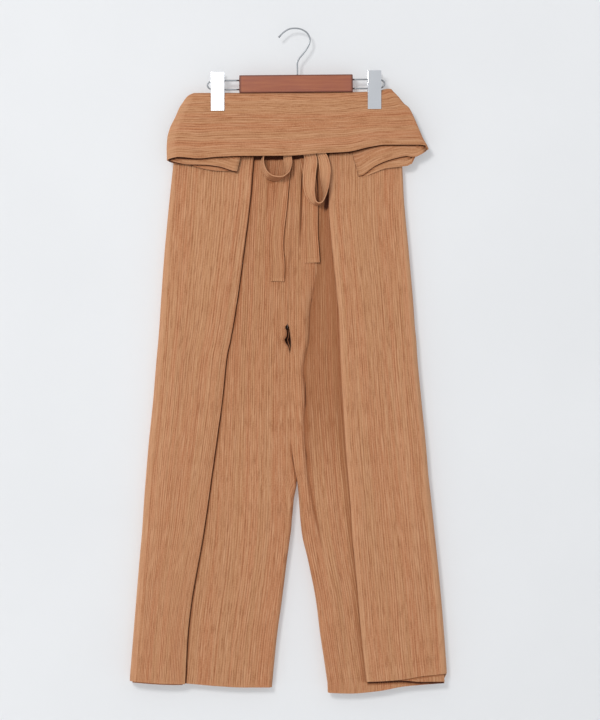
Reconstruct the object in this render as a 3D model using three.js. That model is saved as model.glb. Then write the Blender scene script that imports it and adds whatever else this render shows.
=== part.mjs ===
// Fisherman pants on a clip hanger.
//
// Wide wrap trousers hang flat. The cloth of each side is folded forward into one big pleat, so
// a leg is a flattened tube with a J-shaped section: back panel, front panel, and the same two
// panels again where they come back over the front. The deep waistband has the same section and
// is folded forward and down over the tied belt. Clips hold the fold on a wooden-barred hanger.
//
// Millimetres, +Z up, +X to the viewer's right, the front faces -Y. The origin is the underside
// of the hook's top, where it rests on what carries it.
import * as THREE from "three";

// Cloth: wall thickness, the air between two layers, and the step from one layer to the next.
const WALL = 1.4;
const GAP = 0.35;
const LAYER = WALL + GAP;
const HALF = WALL / 2;

// Waist: the seam under the band, and the band's four layers out from the middle of its fold.
const SEAM_Z = -172;
const SEAM_GAP = 0.4;
const R_PLEAT = LAYER;
const R_UNDER = 2 * LAYER;
const R_FRONT = 3 * LAYER;
const R_BACK = 4 * LAYER;
const SPLAY = 0.55;
const SPLAY_FROM = -125;
const SPLAY_OVER = 80;
const NEST = LAYER + 0.5;

// Legs: how far the inseam and the outer folds round off.
const INSEAM_ROUND = 6;
const INSEAM_GAP = 0.9;
const CROTCH_Z = -478;
const CROTCH_CLOSE = 10;
const FOLD_ROUND = 9;

// Belt and ties.
const TIE_WALL = 1.6;
const BELT_WALL = 1.2;
const BELT_TOP = -144;
const BELT_WIDTH = 22;

// Hanger.
const BAR = { length: 182, height: 28.4, depth: 12, z: -87.8, tilt: 0.5 };
const WIRE_RADIUS = 1.25;
const HOOK_RADIUS = 1.5;
const CLIP = { width: 21.7, height: 62, wall: 1.4, block: 15, blockHeight: 10 };

const cloth = (color) => new THREE.MeshStandardMaterial({ color, roughness: 0.9, metalness: 0 });
const legCloth = cloth(0xbc825c);
const bandCloth = cloth(0xc08760);
const tieCloth = cloth(0xb67c56);
const wood = new THREE.MeshStandardMaterial({ color: 0x9c5238, roughness: 0.45, metalness: 0 });
const chrome = new THREE.MeshStandardMaterial({ color: 0xd8dadd, roughness: 0.18, metalness: 1 });

const object = new THREE.Group();

// A table of named columns. Each is read by straight interpolation against the first column.
function table(names, rows) {
  const read = {};
  const up = rows[0][0] < rows[rows.length - 1][0] ? rows : [...rows].reverse();
  names.split(" ").slice(1).forEach((name, column) => {
    read[name] = (at) => {
      let k = 1;
      while (k < up.length - 1 && up[k][0] < at) k += 1;
      const [low, high] = [up[k - 1], up[k]];
      const share = THREE.MathUtils.clamp((at - low[0]) / (high[0] - low[0]), 0, 1);
      return THREE.MathUtils.lerp(low[column + 1], high[column + 1], share);
    };
  });
  return read;
}

// A line of points in a section, as pairs on its two faces: half a wall to each side.
function thicken(line, half) {
  return line.map((point, k) => {
    const before = line[Math.max(k - 1, 0)];
    const after = line[Math.min(k + 1, line.length - 1)];
    const unit = (a, b) => new THREE.Vector2(b[0] - a[0], b[1] - a[1]).normalize();
    const first = k > 0 ? unit(before, point) : unit(point, after);
    const last = k < line.length - 1 ? unit(point, after) : unit(before, point);
    const along = first.clone().add(last).normalize();
    const reach = half / Math.max(along.dot(first), 0.6);
    return [
      [point[0] - along.y * reach, point[1] + along.x * reach],
      [point[0] + along.y * reach, point[1] - along.x * reach],
    ];
  });
}

// A wall from a grid of point pairs, one on each face: rows down it, columns across it.
function wallMesh(name, grid, material) {
  const rows = grid.length;
  const columns = grid[0].length;
  const vertices = grid.flat(2).map((p) => p.toArray()).flat();
  const at = (row, column, face) => 2 * (row * columns + column) + face;
  const index = [];
  const quad = (a, b, c, d) => index.push(a, b, c, a, c, d);
  for (let i = 0; i < rows - 1; i += 1) {
    for (let j = 0; j < columns - 1; j += 1) {
      quad(at(i, j, 0), at(i + 1, j, 0), at(i + 1, j + 1, 0), at(i, j + 1, 0));
      quad(at(i, j, 1), at(i, j + 1, 1), at(i + 1, j + 1, 1), at(i + 1, j, 1));
    }
    quad(at(i, 0, 0), at(i, 0, 1), at(i + 1, 0, 1), at(i + 1, 0, 0));
    quad(at(i, columns - 1, 0), at(i + 1, columns - 1, 0),
      at(i + 1, columns - 1, 1), at(i, columns - 1, 1));
  }
  for (let j = 0; j < columns - 1; j += 1) {
    quad(at(0, j, 0), at(0, j + 1, 0), at(0, j + 1, 1), at(0, j, 1));
    quad(at(rows - 1, j, 0), at(rows - 1, j, 1),
      at(rows - 1, j + 1, 1), at(rows - 1, j + 1, 0));
  }
  const corner = (k) => new THREE.Vector3().fromArray(vertices, 3 * k);
  let volume = 0;
  for (let k = 0; k < index.length; k += 3) {
    volume += corner(index[k]).dot(corner(index[k + 1]).cross(corner(index[k + 2])));
  }
  if (volume < 0) index.reverse();
  const geometry = new THREE.BufferGeometry();
  geometry.setAttribute("position", new THREE.Float32BufferAttribute(vertices, 3));
  geometry.setIndex(index);
  addPiece(name, geometry, material);
}

function addPiece(name, geometry, material, parent = object) {
  const mesh = new THREE.Mesh(geometry, material);
  mesh.name = name;
  parent.add(mesh);
  return mesh;
}

// ---- Legs ----------------------------------------------------------------------------------

// Depth of a leg's four layers, from the back panel to the pleat that shows, and how far the
// front panel's outer fold lies inside the back panel's.
const depth = table("z back front under pleat inset", [
  [-172, R_BACK, R_FRONT, R_UNDER, R_PLEAT, 2.2],
  [-205, 7.6, 5.2, 3.3, 1.4, 2.8],
  [-240, 8.8, 4.4, 2.4, 0.4, 3.6],
  [-290, 10.2, 2.6, 0.3, -2.0, 4.6],
  [-350, 11.4, 0.6, -1.9, -4.4, 5.4],
  [-420, 12.3, -0.8, -3.4, -6.0, 6],
  [-600, 13.2, -2.0, -4.8, -7.6, 6],
  [-800, 13.6, -2.4, -5.4, -8.4, 6],
  [-1070, 13.0, -1.6, -5.0, -8.4, 6],
]);

// The long soft ridge beside the centre seam of the right leg: where its valley runs, and how
// far the ridge stands out.
const ridge = table("z valley height", [
  [-300, 38, 0], [-386, 35, 2.5], [-466, 21, 4.5], [-545, 12, 5], [-594, 16, 5],
  [-660, 12, 4.5], [-716, 20, 4], [-769, 28, 3], [-850, 46, 0],
]);

const legs = {
  left: {
    side: -1,
    outline: table("z outer pleat inner", [
      [-172, -192, -63, 0], [-218, -197, -69, -2], [-274, -203, -73.6, -5],
      [-354, -210.7, -83.5, -8], [-434, -216.5, -94.4, -11.5], [-478, -219.3, -101.5, -13.6],
      [-500, -221, -105.5, -17.8], [-522, -223.2, -110.5, -9.2], [-594, -229.1, -118.4, -7.4],
      [-674, -237.1, -129, -5], [-724, -241.3, -136.2, 1.6], [-756, -243.8, -140.5, -3.7],
      [-807, -247.2, -148, -8.3], [-850, -251, -155.4, -14.4], [-914, -256.3, -166.7, -22.4],
      [-969, -260.8, -173.1, -29.8], [-1049, -267.2, -177.6, -38.4],
    ]),
    hem: table("x back front under pleat", [
      [-270, -1046, -1047, -1046.5, -1044.8], [-205, -1047, -1048, -1050.5, -1049],
      [-178, -1048, -1049, -1051, -1049.6], [-126, -1051, -1053.3, -1051, -1050],
      [-83, -1053, -1055.5, -1051, -1050], [-38, -1055, -1055.5, -1051, -1050],
    ]),
  },
  right: {
    side: 1,
    outline: table("z outer pleat inner", [
      [-172, 167, 53, 0], [-218, 170.4, 52.8, -2], [-274, 173.3, 52.8, -5],
      [-354, 180.5, 58.5, -8], [-434, 187.6, 66.5, -11.5], [-478, 190.8, 69.6, -13.2],
      [-500, 193.2, 70.5, -9], [-522, 194.4, 71.2, -8.4], [-594, 201.2, 75, -6.6],
      [-674, 209, 80, -4.2], [-724, 213.3, 84.2, 2.4], [-756, 217, 87, 4.6],
      [-807, 222.4, 90, 9], [-850, 226.8, 94, 18.6], [-914, 233, 99.8, 31.4],
      [-969, 237.6, 104.5, 38.5], [-1049, 243.2, 113.6, 50.7],
    ]),
    hem: table("x back front under pleat", [
      [50, -1061, -1063.8, -1046, -1046], [87, -1062, -1065, -1046, -1046],
      [131, -1058, -1061.4, -1045, -1045], [172, -1052, -1054, -1043.5, -1041.8],
      [199, -1049, -1051.4, -1045.8, -1037.4], [245, -1046, -1048, -1045.8, -1032.8],
    ]),
  },
};

const LEG_ROWS = [
  SEAM_Z - SEAM_GAP, -205, -240, -290, -350, -420, -468, -484, -500, -522, -594, -674, -724,
  -756, -807, -850, -914, -985,
];
const ACROSS = [0.06, 0.12, 0.2, 0.3, 0.42, 0.58, 0.78, 1];
const BACK_ACROSS = [0.1, 0.3, 0.5, 0.75, 1];
const FOLDED = [0.2, 0.5, 0.8, 1];
const CORNER = [0, 45, 90];
const TURN = [30, 60, 90, 120, 150, 180];

// How closed the leg's tube is at its inner side: open above the crotch, shut below it.
function closed(z) {
  return THREE.MathUtils.clamp((CROTCH_Z - z) / CROTCH_CLOSE, 0, 1);
}

// The front panel's middle surface where it faces forward.
function frontDepth(side, x, z) {
  if (side < 0) return depth.front(z);
  const across = (x - legs.right.outline.inner(z)) / (ridge.valley(z) - legs.right.outline.inner(z));
  const lift = across > 0 && across < 1 ? Math.sin(Math.PI * across) : 0;
  return depth.front(z) - ridge.height(z) * lift;
}

// One point of a leg panel's middle line: its distance out from the centre, and its depth.
function legPoint(leg, panel, column, z) {
  const { side, outline } = leg;
  const shut = closed(z);
  const inner = side * outline.inner(z) + GAP / 2 + HALF * shut;
  const isFront = panel === "front";
  const near = isFront ? depth.front(z) : depth.back(z);
  const far = isFront ? depth.under(z) : depth.pleat(z);
  const tip = side * outline.outer(z) - HALF - (isFront ? depth.inset(z) : 0);
  const high = (near - far) / 2;
  const round = Math.min(FOLD_ROUND, Math.abs(high));
  const inseam = (depth.front(z) + depth.back(z)) / 2 + (isFront ? -1 : 1) * INSEAM_GAP / 2;
  if (column.part === "corner") {
    const angle = THREE.MathUtils.degToRad(column.at);
    const open = near;
    const turned = inseam + (near - inseam) * Math.sin(angle);
    const out = inner + INSEAM_ROUND * (1 - Math.cos(angle)) * shut
      + INSEAM_ROUND * (column.at / 90) * (1 - shut);
    return [out, THREE.MathUtils.lerp(open, turned, shut)];
  }
  if (column.part === "main") {
    const out = THREE.MathUtils.lerp(inner + INSEAM_ROUND, tip - round, column.at);
    return [out, isFront ? frontDepth(side, side * out, z) : near];
  }
  if (column.part === "turn") {
    const angle = THREE.MathUtils.degToRad(column.at);
    return [tip - round + round * Math.sin(angle), (near + far) / 2 + high * Math.cos(angle)];
  }
  const edge = side * outline.pleat(z) + (isFront ? GAP + HALF : 0);
  return [THREE.MathUtils.lerp(tip - round, edge, column.at), far];
}

// A leg panel from the seam at the waist to its hem.
function legPanel(name, leg, panel) {
  const across = panel === "front" ? ACROSS : BACK_ACROSS;
  const columns = [
    ...CORNER.map((at) => ({ part: "corner", at })),
    ...across.map((at) => ({ part: "main", at })),
    ...TURN.map((at) => ({ part: "turn", at })),
    ...FOLDED.map((at) => ({ part: "folded", at })),
  ];
  const near = panel === "front" ? "front" : "back";
  const far = panel === "front" ? "under" : "pleat";
  const hemZ = (column) => {
    const x = leg.side * legPoint(leg, panel, column, -1049)[0];
    if (column.part === "folded") return leg.hem[far](x);
    const share = column.part === "turn" ? column.at / 180 : 0;
    return THREE.MathUtils.lerp(leg.hem[near](x), leg.hem[far](x), share);
  };
  const grid = [...LEG_ROWS, null].map((rowZ) => {
    const heights = columns.map((column) => (rowZ === null ? hemZ(column) : rowZ));
    const line = columns.map((column, k) => legPoint(leg, panel, column, heights[k]));
    return thicken(line, HALF).map((pair, k) =>
      pair.map(([out, y]) => new THREE.Vector3(leg.side * out, y, heights[k])));
  });
  wallMesh(name, grid, legCloth);
}

for (const [name, leg] of Object.entries(legs)) {
  legPanel(`front_${name}`, leg, "front");
  legPanel(`back_${name}`, leg, "back");
}

// ---- Waistband -----------------------------------------------------------------------------

// Height of the fold's top across the waist.
const crest = table("x z", [
  [-175, -106], [-158, -103.4], [-91, -103.2], [91, -103], [113, -99.8], [128, -98.6],
  [141, -95.6], [152, -96.4], [162, -99],
]);

// Outer folds and pleat edges of the part that rises behind the fold.
const rising = table("z left right leftPleat rightPleat", [
  [-172, -192, 167, -63, 53], [-145, -184, 160, -66, 56], [-120, -172, 152, -70, 60],
  [-100, -160, 146, -74, 64],
]);

// The same of the part that comes down in front of it.
const falling = table("z left right leftPleat rightPleat", [
  [-100, -160, 150, -74, 64], [-109, -173, 163, -75, 66], [-120, -183, 172, -76, 68],
  [-140, -193, 186.5, -78, 72], [-160, -202.6, 196.5, -80, 77], [-175, -206.4, 203, -83, 82],
  [-194, -207.4, 212.3, -86.5, 88.5], [-210, -207, 212.3, -89.5, 93],
  [-238, -206, 212.3, -96, 100.6],
]);

// Lower edges of the band's four layers where it comes down in front.
const lower = {
  back: table("x z", [
    [-207, -210.5], [-202.6, -208.8], [-188.8, -205.6], [-156, -208], [-127, -205.6],
    [-88, -204], [-9.6, -203.5], [36, -199.7], [82, -197.3], [120.5, -189], [143.5, -185.9],
    [205, -186], [212.3, -193.5],
  ]),
  front: table("x z", [[-207, -200], [-110, -192], [-60, -184], [60, -182], [205, -180]]),
  under: table("x z", [
    [-206, -211], [-200.6, -211.8], [-173.4, -217.3], [-150, -217.6], [-123, -220.5],
    [-96, -228.3], [100.6, -235.7], [128, -218.7], [156, -208], [180, -203.5], [188, -205.6],
    [212.8, -193.6],
  ]),
  pleat: table("x z", [
    [-207, -211], [-195, -215.7], [-171.5, -218], [-154, -222.4], [-127, -227.2],
    [-103.7, -227.7], [-95, -230.6], [100.6, -236.3], [103.7, -237.9], [123.5, -231],
    [143.5, -223.4], [171, -220.3], [185.5, -217.6], [188, -204], [200, -198], [212.3, -193.6],
  ]),
};

const BAND_RISE = [-171.6, -150, -125];
const BAND_TURN = [0, 45, 90, 135, 180];
const BAND_FALL = [-128, -152, -176];
const BAND_LAST = [0.5, 1];
const BAND_ACROSS = [0.12, 0.25, 0.38, 0.5, 0.62, 0.75, 0.88];
const BAND_PLEAT = [1, 0.7, 0.4];
const BAND_SIDE = [0, 45, 90, 135, 180];

// How far the hanging part of the band stands forward, as a share of its layers' radius.
function splay(z) {
  const share = THREE.MathUtils.clamp((SPLAY_FROM - z) / SPLAY_OVER, 0, 1);
  return 1 + SPLAY * share * share;
}

// The band's columns, right pleat to left pleat: which layer each lies on, and where across.
const bandColumns = [
  ...BAND_PLEAT.map((at) => ({ part: "right", at })),
  ...BAND_SIDE.map((at) => ({ part: "rightTurn", at })),
  ...BAND_ACROSS.map((at) => ({ part: "across", at })),
  ...BAND_SIDE.map((at) => ({ part: "leftTurn", at })),
  ...[...BAND_PLEAT].reverse().map((at) => ({ part: "left", at })),
];

// One point of a band panel's middle line, as its place across and its radius from the fold.
function bandPoint(panel, column, edges, z) {
  const isFront = panel === "front";
  const inner = isFront ? R_UNDER : R_PLEAT;
  const outer = isFront ? R_FRONT : R_BACK;
  const inset = (isFront ? NEST : 0) + HALF;
  const high = (outer - inner) / 2;
  const middle = (outer + inner) / 2;
  const right = edges.right(z) - inset - high;
  const left = edges.left(z) + inset + high;
  const seam = isFront ? GAP : 0;
  if (column.part === "right") {
    return [THREE.MathUtils.lerp(right, edges.rightPleat(z) + seam, column.at), inner];
  }
  if (column.part === "left") {
    return [THREE.MathUtils.lerp(left, edges.leftPleat(z) - seam, column.at), inner];
  }
  if (column.part === "across") return [THREE.MathUtils.lerp(right, left, column.at), outer];
  const angle = THREE.MathUtils.degToRad(column.at);
  const isRight = column.part === "rightTurn";
  const across = isRight ? right + high * Math.sin(angle) : left - high * Math.sin(angle);
  return [across, middle + (isRight ? -high : high) * Math.cos(angle)];
}

// Where a band column ends: on its own layer's edge, or between the two that its fold joins.
function bandEnd(panel, column) {
  const isFront = panel === "front";
  const near = isFront ? lower.front : lower.back;
  const far = isFront ? lower.under : lower.pleat;
  const x = bandPoint(panel, column, falling, -200)[0];
  if (column.part === "across") return near.z(x);
  if (column.part === "right" || column.part === "left") return far.z(x);
  const share = column.part === "rightTurn" ? column.at / 180 : 1 - column.at / 180;
  return THREE.MathUtils.lerp(far.z(x), near.z(x), share);
}

function bandRow(panel, heights, edges, place) {
  const line = bandColumns.map((column, k) => bandPoint(panel, column, edges, heights[k]));
  return thicken(line, HALF).map((pair, k) =>
    pair.map(([x, r]) => place(x, r, heights[k])));
}

function bandPanel(name, panel) {
  const level = (z) => bandColumns.map(() => z);
  const fold = (x) => crest.z(x) - R_BACK - HALF;
  const turned = (angle) => (x, r) => new THREE.Vector3(
    x, r * Math.cos(angle), fold(x) + r * Math.sin(angle));
  const ends = bandColumns.map((column) => bandEnd(panel, column));
  const start = BAND_FALL[BAND_FALL.length - 1];
  const lasts = BAND_LAST.map((share) =>
    ends.map((end) => THREE.MathUtils.lerp(start, end, share)));
  const behind = (x, r, z) => new THREE.Vector3(x, r, z);
  const before = (x, r, z) => new THREE.Vector3(x, -r * splay(z), z);
  const grid = [
    ...BAND_RISE.map((z) => bandRow(panel, level(z), rising, behind)),
    ...BAND_TURN.map((degrees) => {
      const angle = THREE.MathUtils.degToRad(degrees);
      return bandRow(panel, level(-100), degrees > 90 ? falling : rising, turned(angle));
    }),
    ...BAND_FALL.map((z) => bandRow(panel, level(z), falling, before)),
    ...lasts.map((heights) => bandRow(panel, heights, falling, before)),
  ];
  wallMesh(name, grid, bandCloth);
}

bandPanel("waistband_front", "front");
bandPanel("waistband_back", "back");

// ---- Belt and bow --------------------------------------------------------------------------

// The belt lies on the band's back, rounds both sides, and runs in front of the pleats, under
// the folded band, to the knot.
const KNOT = { x: -2, z: -168, wide: 13, deep: 3.6, high: 18 };

function belt() {
  const back = R_BACK + HALF + GAP + BELT_WALL / 2;
  const heights = [BELT_TOP, BELT_TOP - BELT_WIDTH / 2, BELT_TOP - BELT_WIDTH];
  const grid = heights.map((z) => {
    const out = back / 2;
    const clear = 2 * GAP + BELT_WALL / 2;
    const right = rising.right(z) + clear - out;
    const left = rising.left(z) - clear + out;
    const round = (centre, side) => BAND_SIDE.map((degrees) => {
      const angle = THREE.MathUtils.degToRad(degrees);
      return [centre + side * out * Math.sin(angle), out - side * out * Math.cos(angle)];
    });
    const line = [
      [KNOT.x + KNOT.wide + GAP, 0], [right / 2, 0], ...round(right, 1),
      [right / 3, back], [left / 3, back], ...round(left, -1), [left / 2, 0],
      [KNOT.x - KNOT.wide - GAP, 0],
    ];
    return thicken(line, BELT_WALL / 2).map((pair) =>
      pair.map(([x, y]) => new THREE.Vector3(x, y, z)));
  });
  wallMesh("belt", grid, tieCloth);
}

belt();

const knot = new THREE.SphereGeometry(1, 12, 8).scale(KNOT.wide, KNOT.deep, KNOT.high);
addPiece("bow_knot", knot, tieCloth).position.set(KNOT.x, 0, KNOT.z);

// A flat tie along a route. turn is the angle of its width, from across (0) to straight out of
// the front (90); half is half its width.
const SAMPLES = 20;

function tie(name, rows) {
  const route = new THREE.CatmullRomCurve3(rows.map((row) => new THREE.Vector3(...row)));
  const columns = table("at turn half", rows.map((row, k) => [k, row[3], row[4]]));
  const grid = Array.from({ length: SAMPLES }, (_, k) => {
    const share = k / (SAMPLES - 1);
    const at = share * (rows.length - 1);
    const point = route.getPoint(share);
    const along = route.getTangent(share);
    const angle = THREE.MathUtils.degToRad(columns.turn(at));
    const across = new THREE.Vector3(Math.cos(angle), -Math.sin(angle), 0);
    across.addScaledVector(along, -across.dot(along)).normalize();
    const face = along.clone().cross(across).multiplyScalar(TIE_WALL / 2);
    return [-1, 1].map((side) => {
      const edge = point.clone().addScaledVector(across, side * columns.half(at));
      return [edge.clone().add(face), edge.clone().sub(face)];
    });
  });
  wallMesh(name, grid, tieCloth);
}

// A tail lies on the front panel, so its depth is worked out from that panel.
const TAIL_LIFT = HALF + TIE_WALL / 2 + 0.8;
const onFront = (side, rows) => rows.map(([x, z, half]) => {
  const under = [-1, -0.5, 0, 0.5, 1].map((share) => frontDepth(side, x + share * half, z));
  return [x, Math.min(...under) - TAIL_LIFT, z, 0, half];
});

tie("tail_left", onFront(-1, [
  [-12, -190, 9], [-17, -207, 10.5], [-21.3, -242, 10.7], [-25.7, -290, 10.7],
  [-30, -327, 10.7], [-30.9, -350, 10.7], [-28.8, -378, 10.7], [-29.4, -404.3, 10.7],
]));
tie("tail_right", onFront(1, [
  [10, -190, 8], [17, -215, 9.5], [22.5, -245, 10.5], [24, -284, 10.9], [24, -325, 11],
  [25.4, -357, 11.8], [26.2, -374.5, 12],
]));
tie("loop_left", [
  [-10, -1.6, -187.5, 65, 3.2], [-28, -2.4, -189, 70, 4], [-46, -3.0, -196, 80, 4.2],
  [-53, -5.2, -210, 75, 5.4], [-50.5, -10.5, -228, 75, 9], [-38, -11.5, -239.5, 80, 9.5],
  [-22, -11, -241.5, 72, 9.5], [-12.5, -9, -228, 55, 9], [-9.8, -4.8, -208, 35, 8],
  [-7, -3.2, -191, 20, 5],
]);
tie("loop_right", [
  [8, -2, -188.5, 10, 5], [20, -2.6, -200, 5, 9], [22.5, -3.4, -222, 3, 10.5],
  [21.8, -4.4, -246, 8, 10.3], [24.5, -8, -267, 40, 10], [33.5, -11.5, -278.5, 82, 10],
  [43.5, -10.5, -265, 60, 10], [48, -8.5, -244, 48, 10], [50, -6, -221, 38, 9],
  [43, -4.2, -203, 30, 6.5], [29, -3.2, -193, 60, 3.5],
]);

// ---- Hanger --------------------------------------------------------------------------------

// A round wire along a route.
const WIRE_SIDES = 8;

function wire(name, points, radius, steps, parent) {
  const outline = new THREE.Shape(Array.from({ length: WIRE_SIDES }, (_, k) => {
    const angle = (2 * Math.PI * k) / WIRE_SIDES;
    return new THREE.Vector2(radius * Math.cos(angle), radius * Math.sin(angle));
  }));
  const route = new THREE.CatmullRomCurve3(points.map(([x, z]) => new THREE.Vector3(x, 0, z)));
  const geometry = new THREE.ExtrudeGeometry(outline, { steps, extrudePath: route });
  addPiece(name, geometry, chrome, parent);
}

const BAR_TOP = BAR.z + BAR.height / 2;
const hanger = new THREE.Group();
hanger.position.set(0, 0, BAR.z);
hanger.rotation.y = -THREE.MathUtils.degToRad(BAR.tilt);
object.add(hanger);

wire("hanger_hook", [
  [-27.7, -13.1], [-20.3, -5.3], [-10.7, 0.4], [0, HOOK_RADIUS], [9.6, -0.6], [17.9, -6.1],
  [21.8, -13.6], [21.8, -21.8], [17.9, -30.4], [11.8, -39], [5.2, -46.9], [2.2, -54],
  [2.2, -64], [2.2, BAR_TOP + GAP],
], HOOK_RADIUS, 32, object);

// The bar has eased edges all round.
const EASE = 1.5;
const barFace = new THREE.Shape([
  new THREE.Vector2(-BAR.length / 2 + EASE, -BAR.height / 2 + EASE),
  new THREE.Vector2(BAR.length / 2 - EASE, -BAR.height / 2 + EASE),
  new THREE.Vector2(BAR.length / 2 - EASE, BAR.height / 2 - EASE),
  new THREE.Vector2(-BAR.length / 2 + EASE, BAR.height / 2 - EASE),
]);
const barSolid = new THREE.ExtrudeGeometry(barFace, {
  depth: BAR.depth - 2 * EASE, bevelThickness: EASE, bevelSize: EASE, bevelSegments: 1,
});
barSolid.rotateX(Math.PI / 2).translate(0, BAR.depth / 2 - EASE, 0);
addPiece("hanger_bar", barSolid, wood, hanger);

// Each wire leaves the bar's end twice, as one long loop that a clip slides on.
const WIRE = { upper: 6.4, lower: -8.2, straight: 131, end: 142 };

function wireLoop(name, side) {
  const from = BAR.length / 2 + GAP;
  const middle = (WIRE.upper + WIRE.lower) / 2;
  const reach = (WIRE.upper - WIRE.lower) / 2;
  const points = [[from, WIRE.upper], [from + 15, WIRE.upper], [from + 30, WIRE.upper]];
  for (const degrees of [90, 60, 30, 0, -30, -60, -90]) {
    const angle = THREE.MathUtils.degToRad(degrees);
    const x = WIRE.straight + (WIRE.end - WIRE.straight) * Math.cos(angle);
    points.push([x, middle + reach * Math.sin(angle)]);
  }
  points.push([from + 30, WIRE.lower], [from + 15, WIRE.lower], [from, WIRE.lower]);
  wire(name, points.map(([x, z]) => [side * x, z]), WIRE_RADIUS, 26, hanger);
}

wireLoop("wire_left", -1);
wireLoop("wire_right", 1);

// A clip: two flat jaws that pinch the fold, and the block between them that rides the wires.
function clip(name, x, top) {
  const face = R_BACK + HALF + GAP + CLIP.wall / 2;
  const jaw = () => new THREE.BoxGeometry(CLIP.width, CLIP.wall, CLIP.height);
  const z = top - CLIP.height / 2;
  addPiece(`${name}_front`, jaw(), chrome).position.set(x, -face, z);
  addPiece(`${name}_back`, jaw(), chrome).position.set(x, face, z);
  const thick = 2 * (face - CLIP.wall / 2 - GAP);
  const block = new THREE.BoxGeometry(CLIP.block, thick, CLIP.blockHeight);
  const middle = BAR.z + (WIRE.upper + WIRE.lower) / 2 + x * Math.tan(THREE.MathUtils.degToRad(BAR.tilt));
  addPiece(`${name}_block`, block, chrome).position.set(x, 0, middle);
}

clip("clip_left", -125.4, -69.6);
clip("clip_right", 125.6, -66.9);

export default object;
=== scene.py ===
"""Fisherman pants hung flat from a clip hanger, their waistband folded forward over a tied belt."""

import math
from types import SimpleNamespace

import bmesh
import bpy
import numpy as np
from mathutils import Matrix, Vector


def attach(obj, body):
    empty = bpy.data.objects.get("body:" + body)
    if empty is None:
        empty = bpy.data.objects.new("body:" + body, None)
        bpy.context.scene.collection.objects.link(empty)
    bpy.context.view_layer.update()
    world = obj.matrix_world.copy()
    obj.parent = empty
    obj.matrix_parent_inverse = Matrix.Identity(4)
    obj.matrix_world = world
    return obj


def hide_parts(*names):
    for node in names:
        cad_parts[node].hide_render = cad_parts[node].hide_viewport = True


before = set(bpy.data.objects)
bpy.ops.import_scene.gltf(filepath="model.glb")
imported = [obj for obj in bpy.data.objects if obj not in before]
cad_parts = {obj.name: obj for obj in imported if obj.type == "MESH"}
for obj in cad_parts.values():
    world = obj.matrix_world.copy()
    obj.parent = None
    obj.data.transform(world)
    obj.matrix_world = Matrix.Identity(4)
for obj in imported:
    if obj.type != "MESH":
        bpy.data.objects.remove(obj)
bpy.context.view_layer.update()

# ---- View and room ----------------------------------------------------------------------------
# The trousers are seen square on from the front, from far enough away to look flat. A pale wall
# stands just behind them and a pale floor lies well below. One large soft lamp hangs high on the
# left in front, and weaker ones fill the right and the back.
PICTURE_HIGH = 1.152
EYE_BACK = 3.5
EYE = Vector((0.0064, -EYE_BACK - 0.008, -0.5304))
FILM = 24.0

camera_data = bpy.data.cameras.new("view")
camera_data.sensor_fit = "VERTICAL"
camera_data.sensor_height = FILM
camera_data.lens = FILM * EYE_BACK / PICTURE_HIGH
camera_data.clip_end = 50
camera = bpy.data.objects.new("view", camera_data)
camera.location = EYE
camera.rotation_euler = (math.radians(90), 0, 0)
bpy.context.scene.collection.objects.link(camera)
bpy.context.scene.camera = camera


class Link:
    """A socket of a material. Arithmetic on it adds Math nodes, and node() adds any other."""

    def __init__(self, tree, socket=None):
        self.tree, self.socket = tree, socket

    def node(self, kind, settings=(), out=0, **inputs):
        made = self.tree.nodes.new("ShaderNode" + kind)
        for name, value in dict(settings).items():
            setattr(made, name, value)
        for name, value in inputs.items():
            key = int(name[2:]) if name[:2] == "in" else name.replace("_", " ")
            if isinstance(value, Link):
                self.tree.links.new(value.socket, made.inputs[key])
            else:
                made.inputs[key].default_value = value
        return Link(self.tree, made.outputs[out])

    def math(self, operation, first, second):
        return self.node("Math", {"operation": operation}, in0=first, in1=second)

    def __add__(self, other):
        return self.math("ADD", self, other)

    def __rsub__(self, other):
        return self.math("SUBTRACT", other, self)

    def __mul__(self, other):
        return self.math("MULTIPLY", self, other)

    __radd__, __rmul__ = __add__, __mul__

    def band(self, low, high):
        """0 below low, 1 above high, and smooth between."""
        return self.node("MapRange", {"interpolation_type": "SMOOTHSTEP"},
                         Value=self, From_Min=low, From_Max=high)

    def blend(self, factor, first, second):
        return self.node("Mix", {"data_type": "RGBA"}, out=2, in0=factor, in6=first, in7=second)

    def feed(self, node, name):
        self.tree.links.new(self.socket, node.inputs[name])


def new_material(name, **fixed):
    """A material, its main shader with its fixed sockets set, and a Link to build nodes with."""
    material = bpy.data.materials.new(name)
    material.use_nodes = True
    tree = material.node_tree
    shader = tree.nodes["Principled BSDF"]
    for socket, value in fixed.items():
        shader.inputs[socket.replace("_", " ")].default_value = value
    return material, shader, Link(tree)


def plane(name, corners, material):
    mesh = bpy.data.meshes.new(name)
    mesh.from_pydata(corners, [], [tuple(range(len(corners)))])
    mesh.materials.append(material)
    obj = bpy.data.objects.new(name, mesh)
    bpy.context.scene.collection.objects.link(obj)


WALL_Y = 0.019
FLOOR_Z = -1.5
ROOM = 4.0
PAINT = (0.775, 0.785, 0.793, 1)
PLASTER, PALE_PLASTER = (0.562, 0.569, 0.575, 1), (0.58, 0.587, 0.593, 1)
GLOW, GLOW_STRENGTH = (0.972, 0.984, 1, 1), 0.22
MATT = 0.9

floor_paint, _, _ = new_material("floor paint", Base_Color=PAINT, Roughness=MATT)
plane("floor", [(-ROOM, -ROOM, FLOOR_Z), (ROOM, -ROOM, FLOOR_Z), (ROOM, ROOM, FLOOR_Z),
                (-ROOM, ROOM, FLOOR_Z)], floor_paint)

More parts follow.
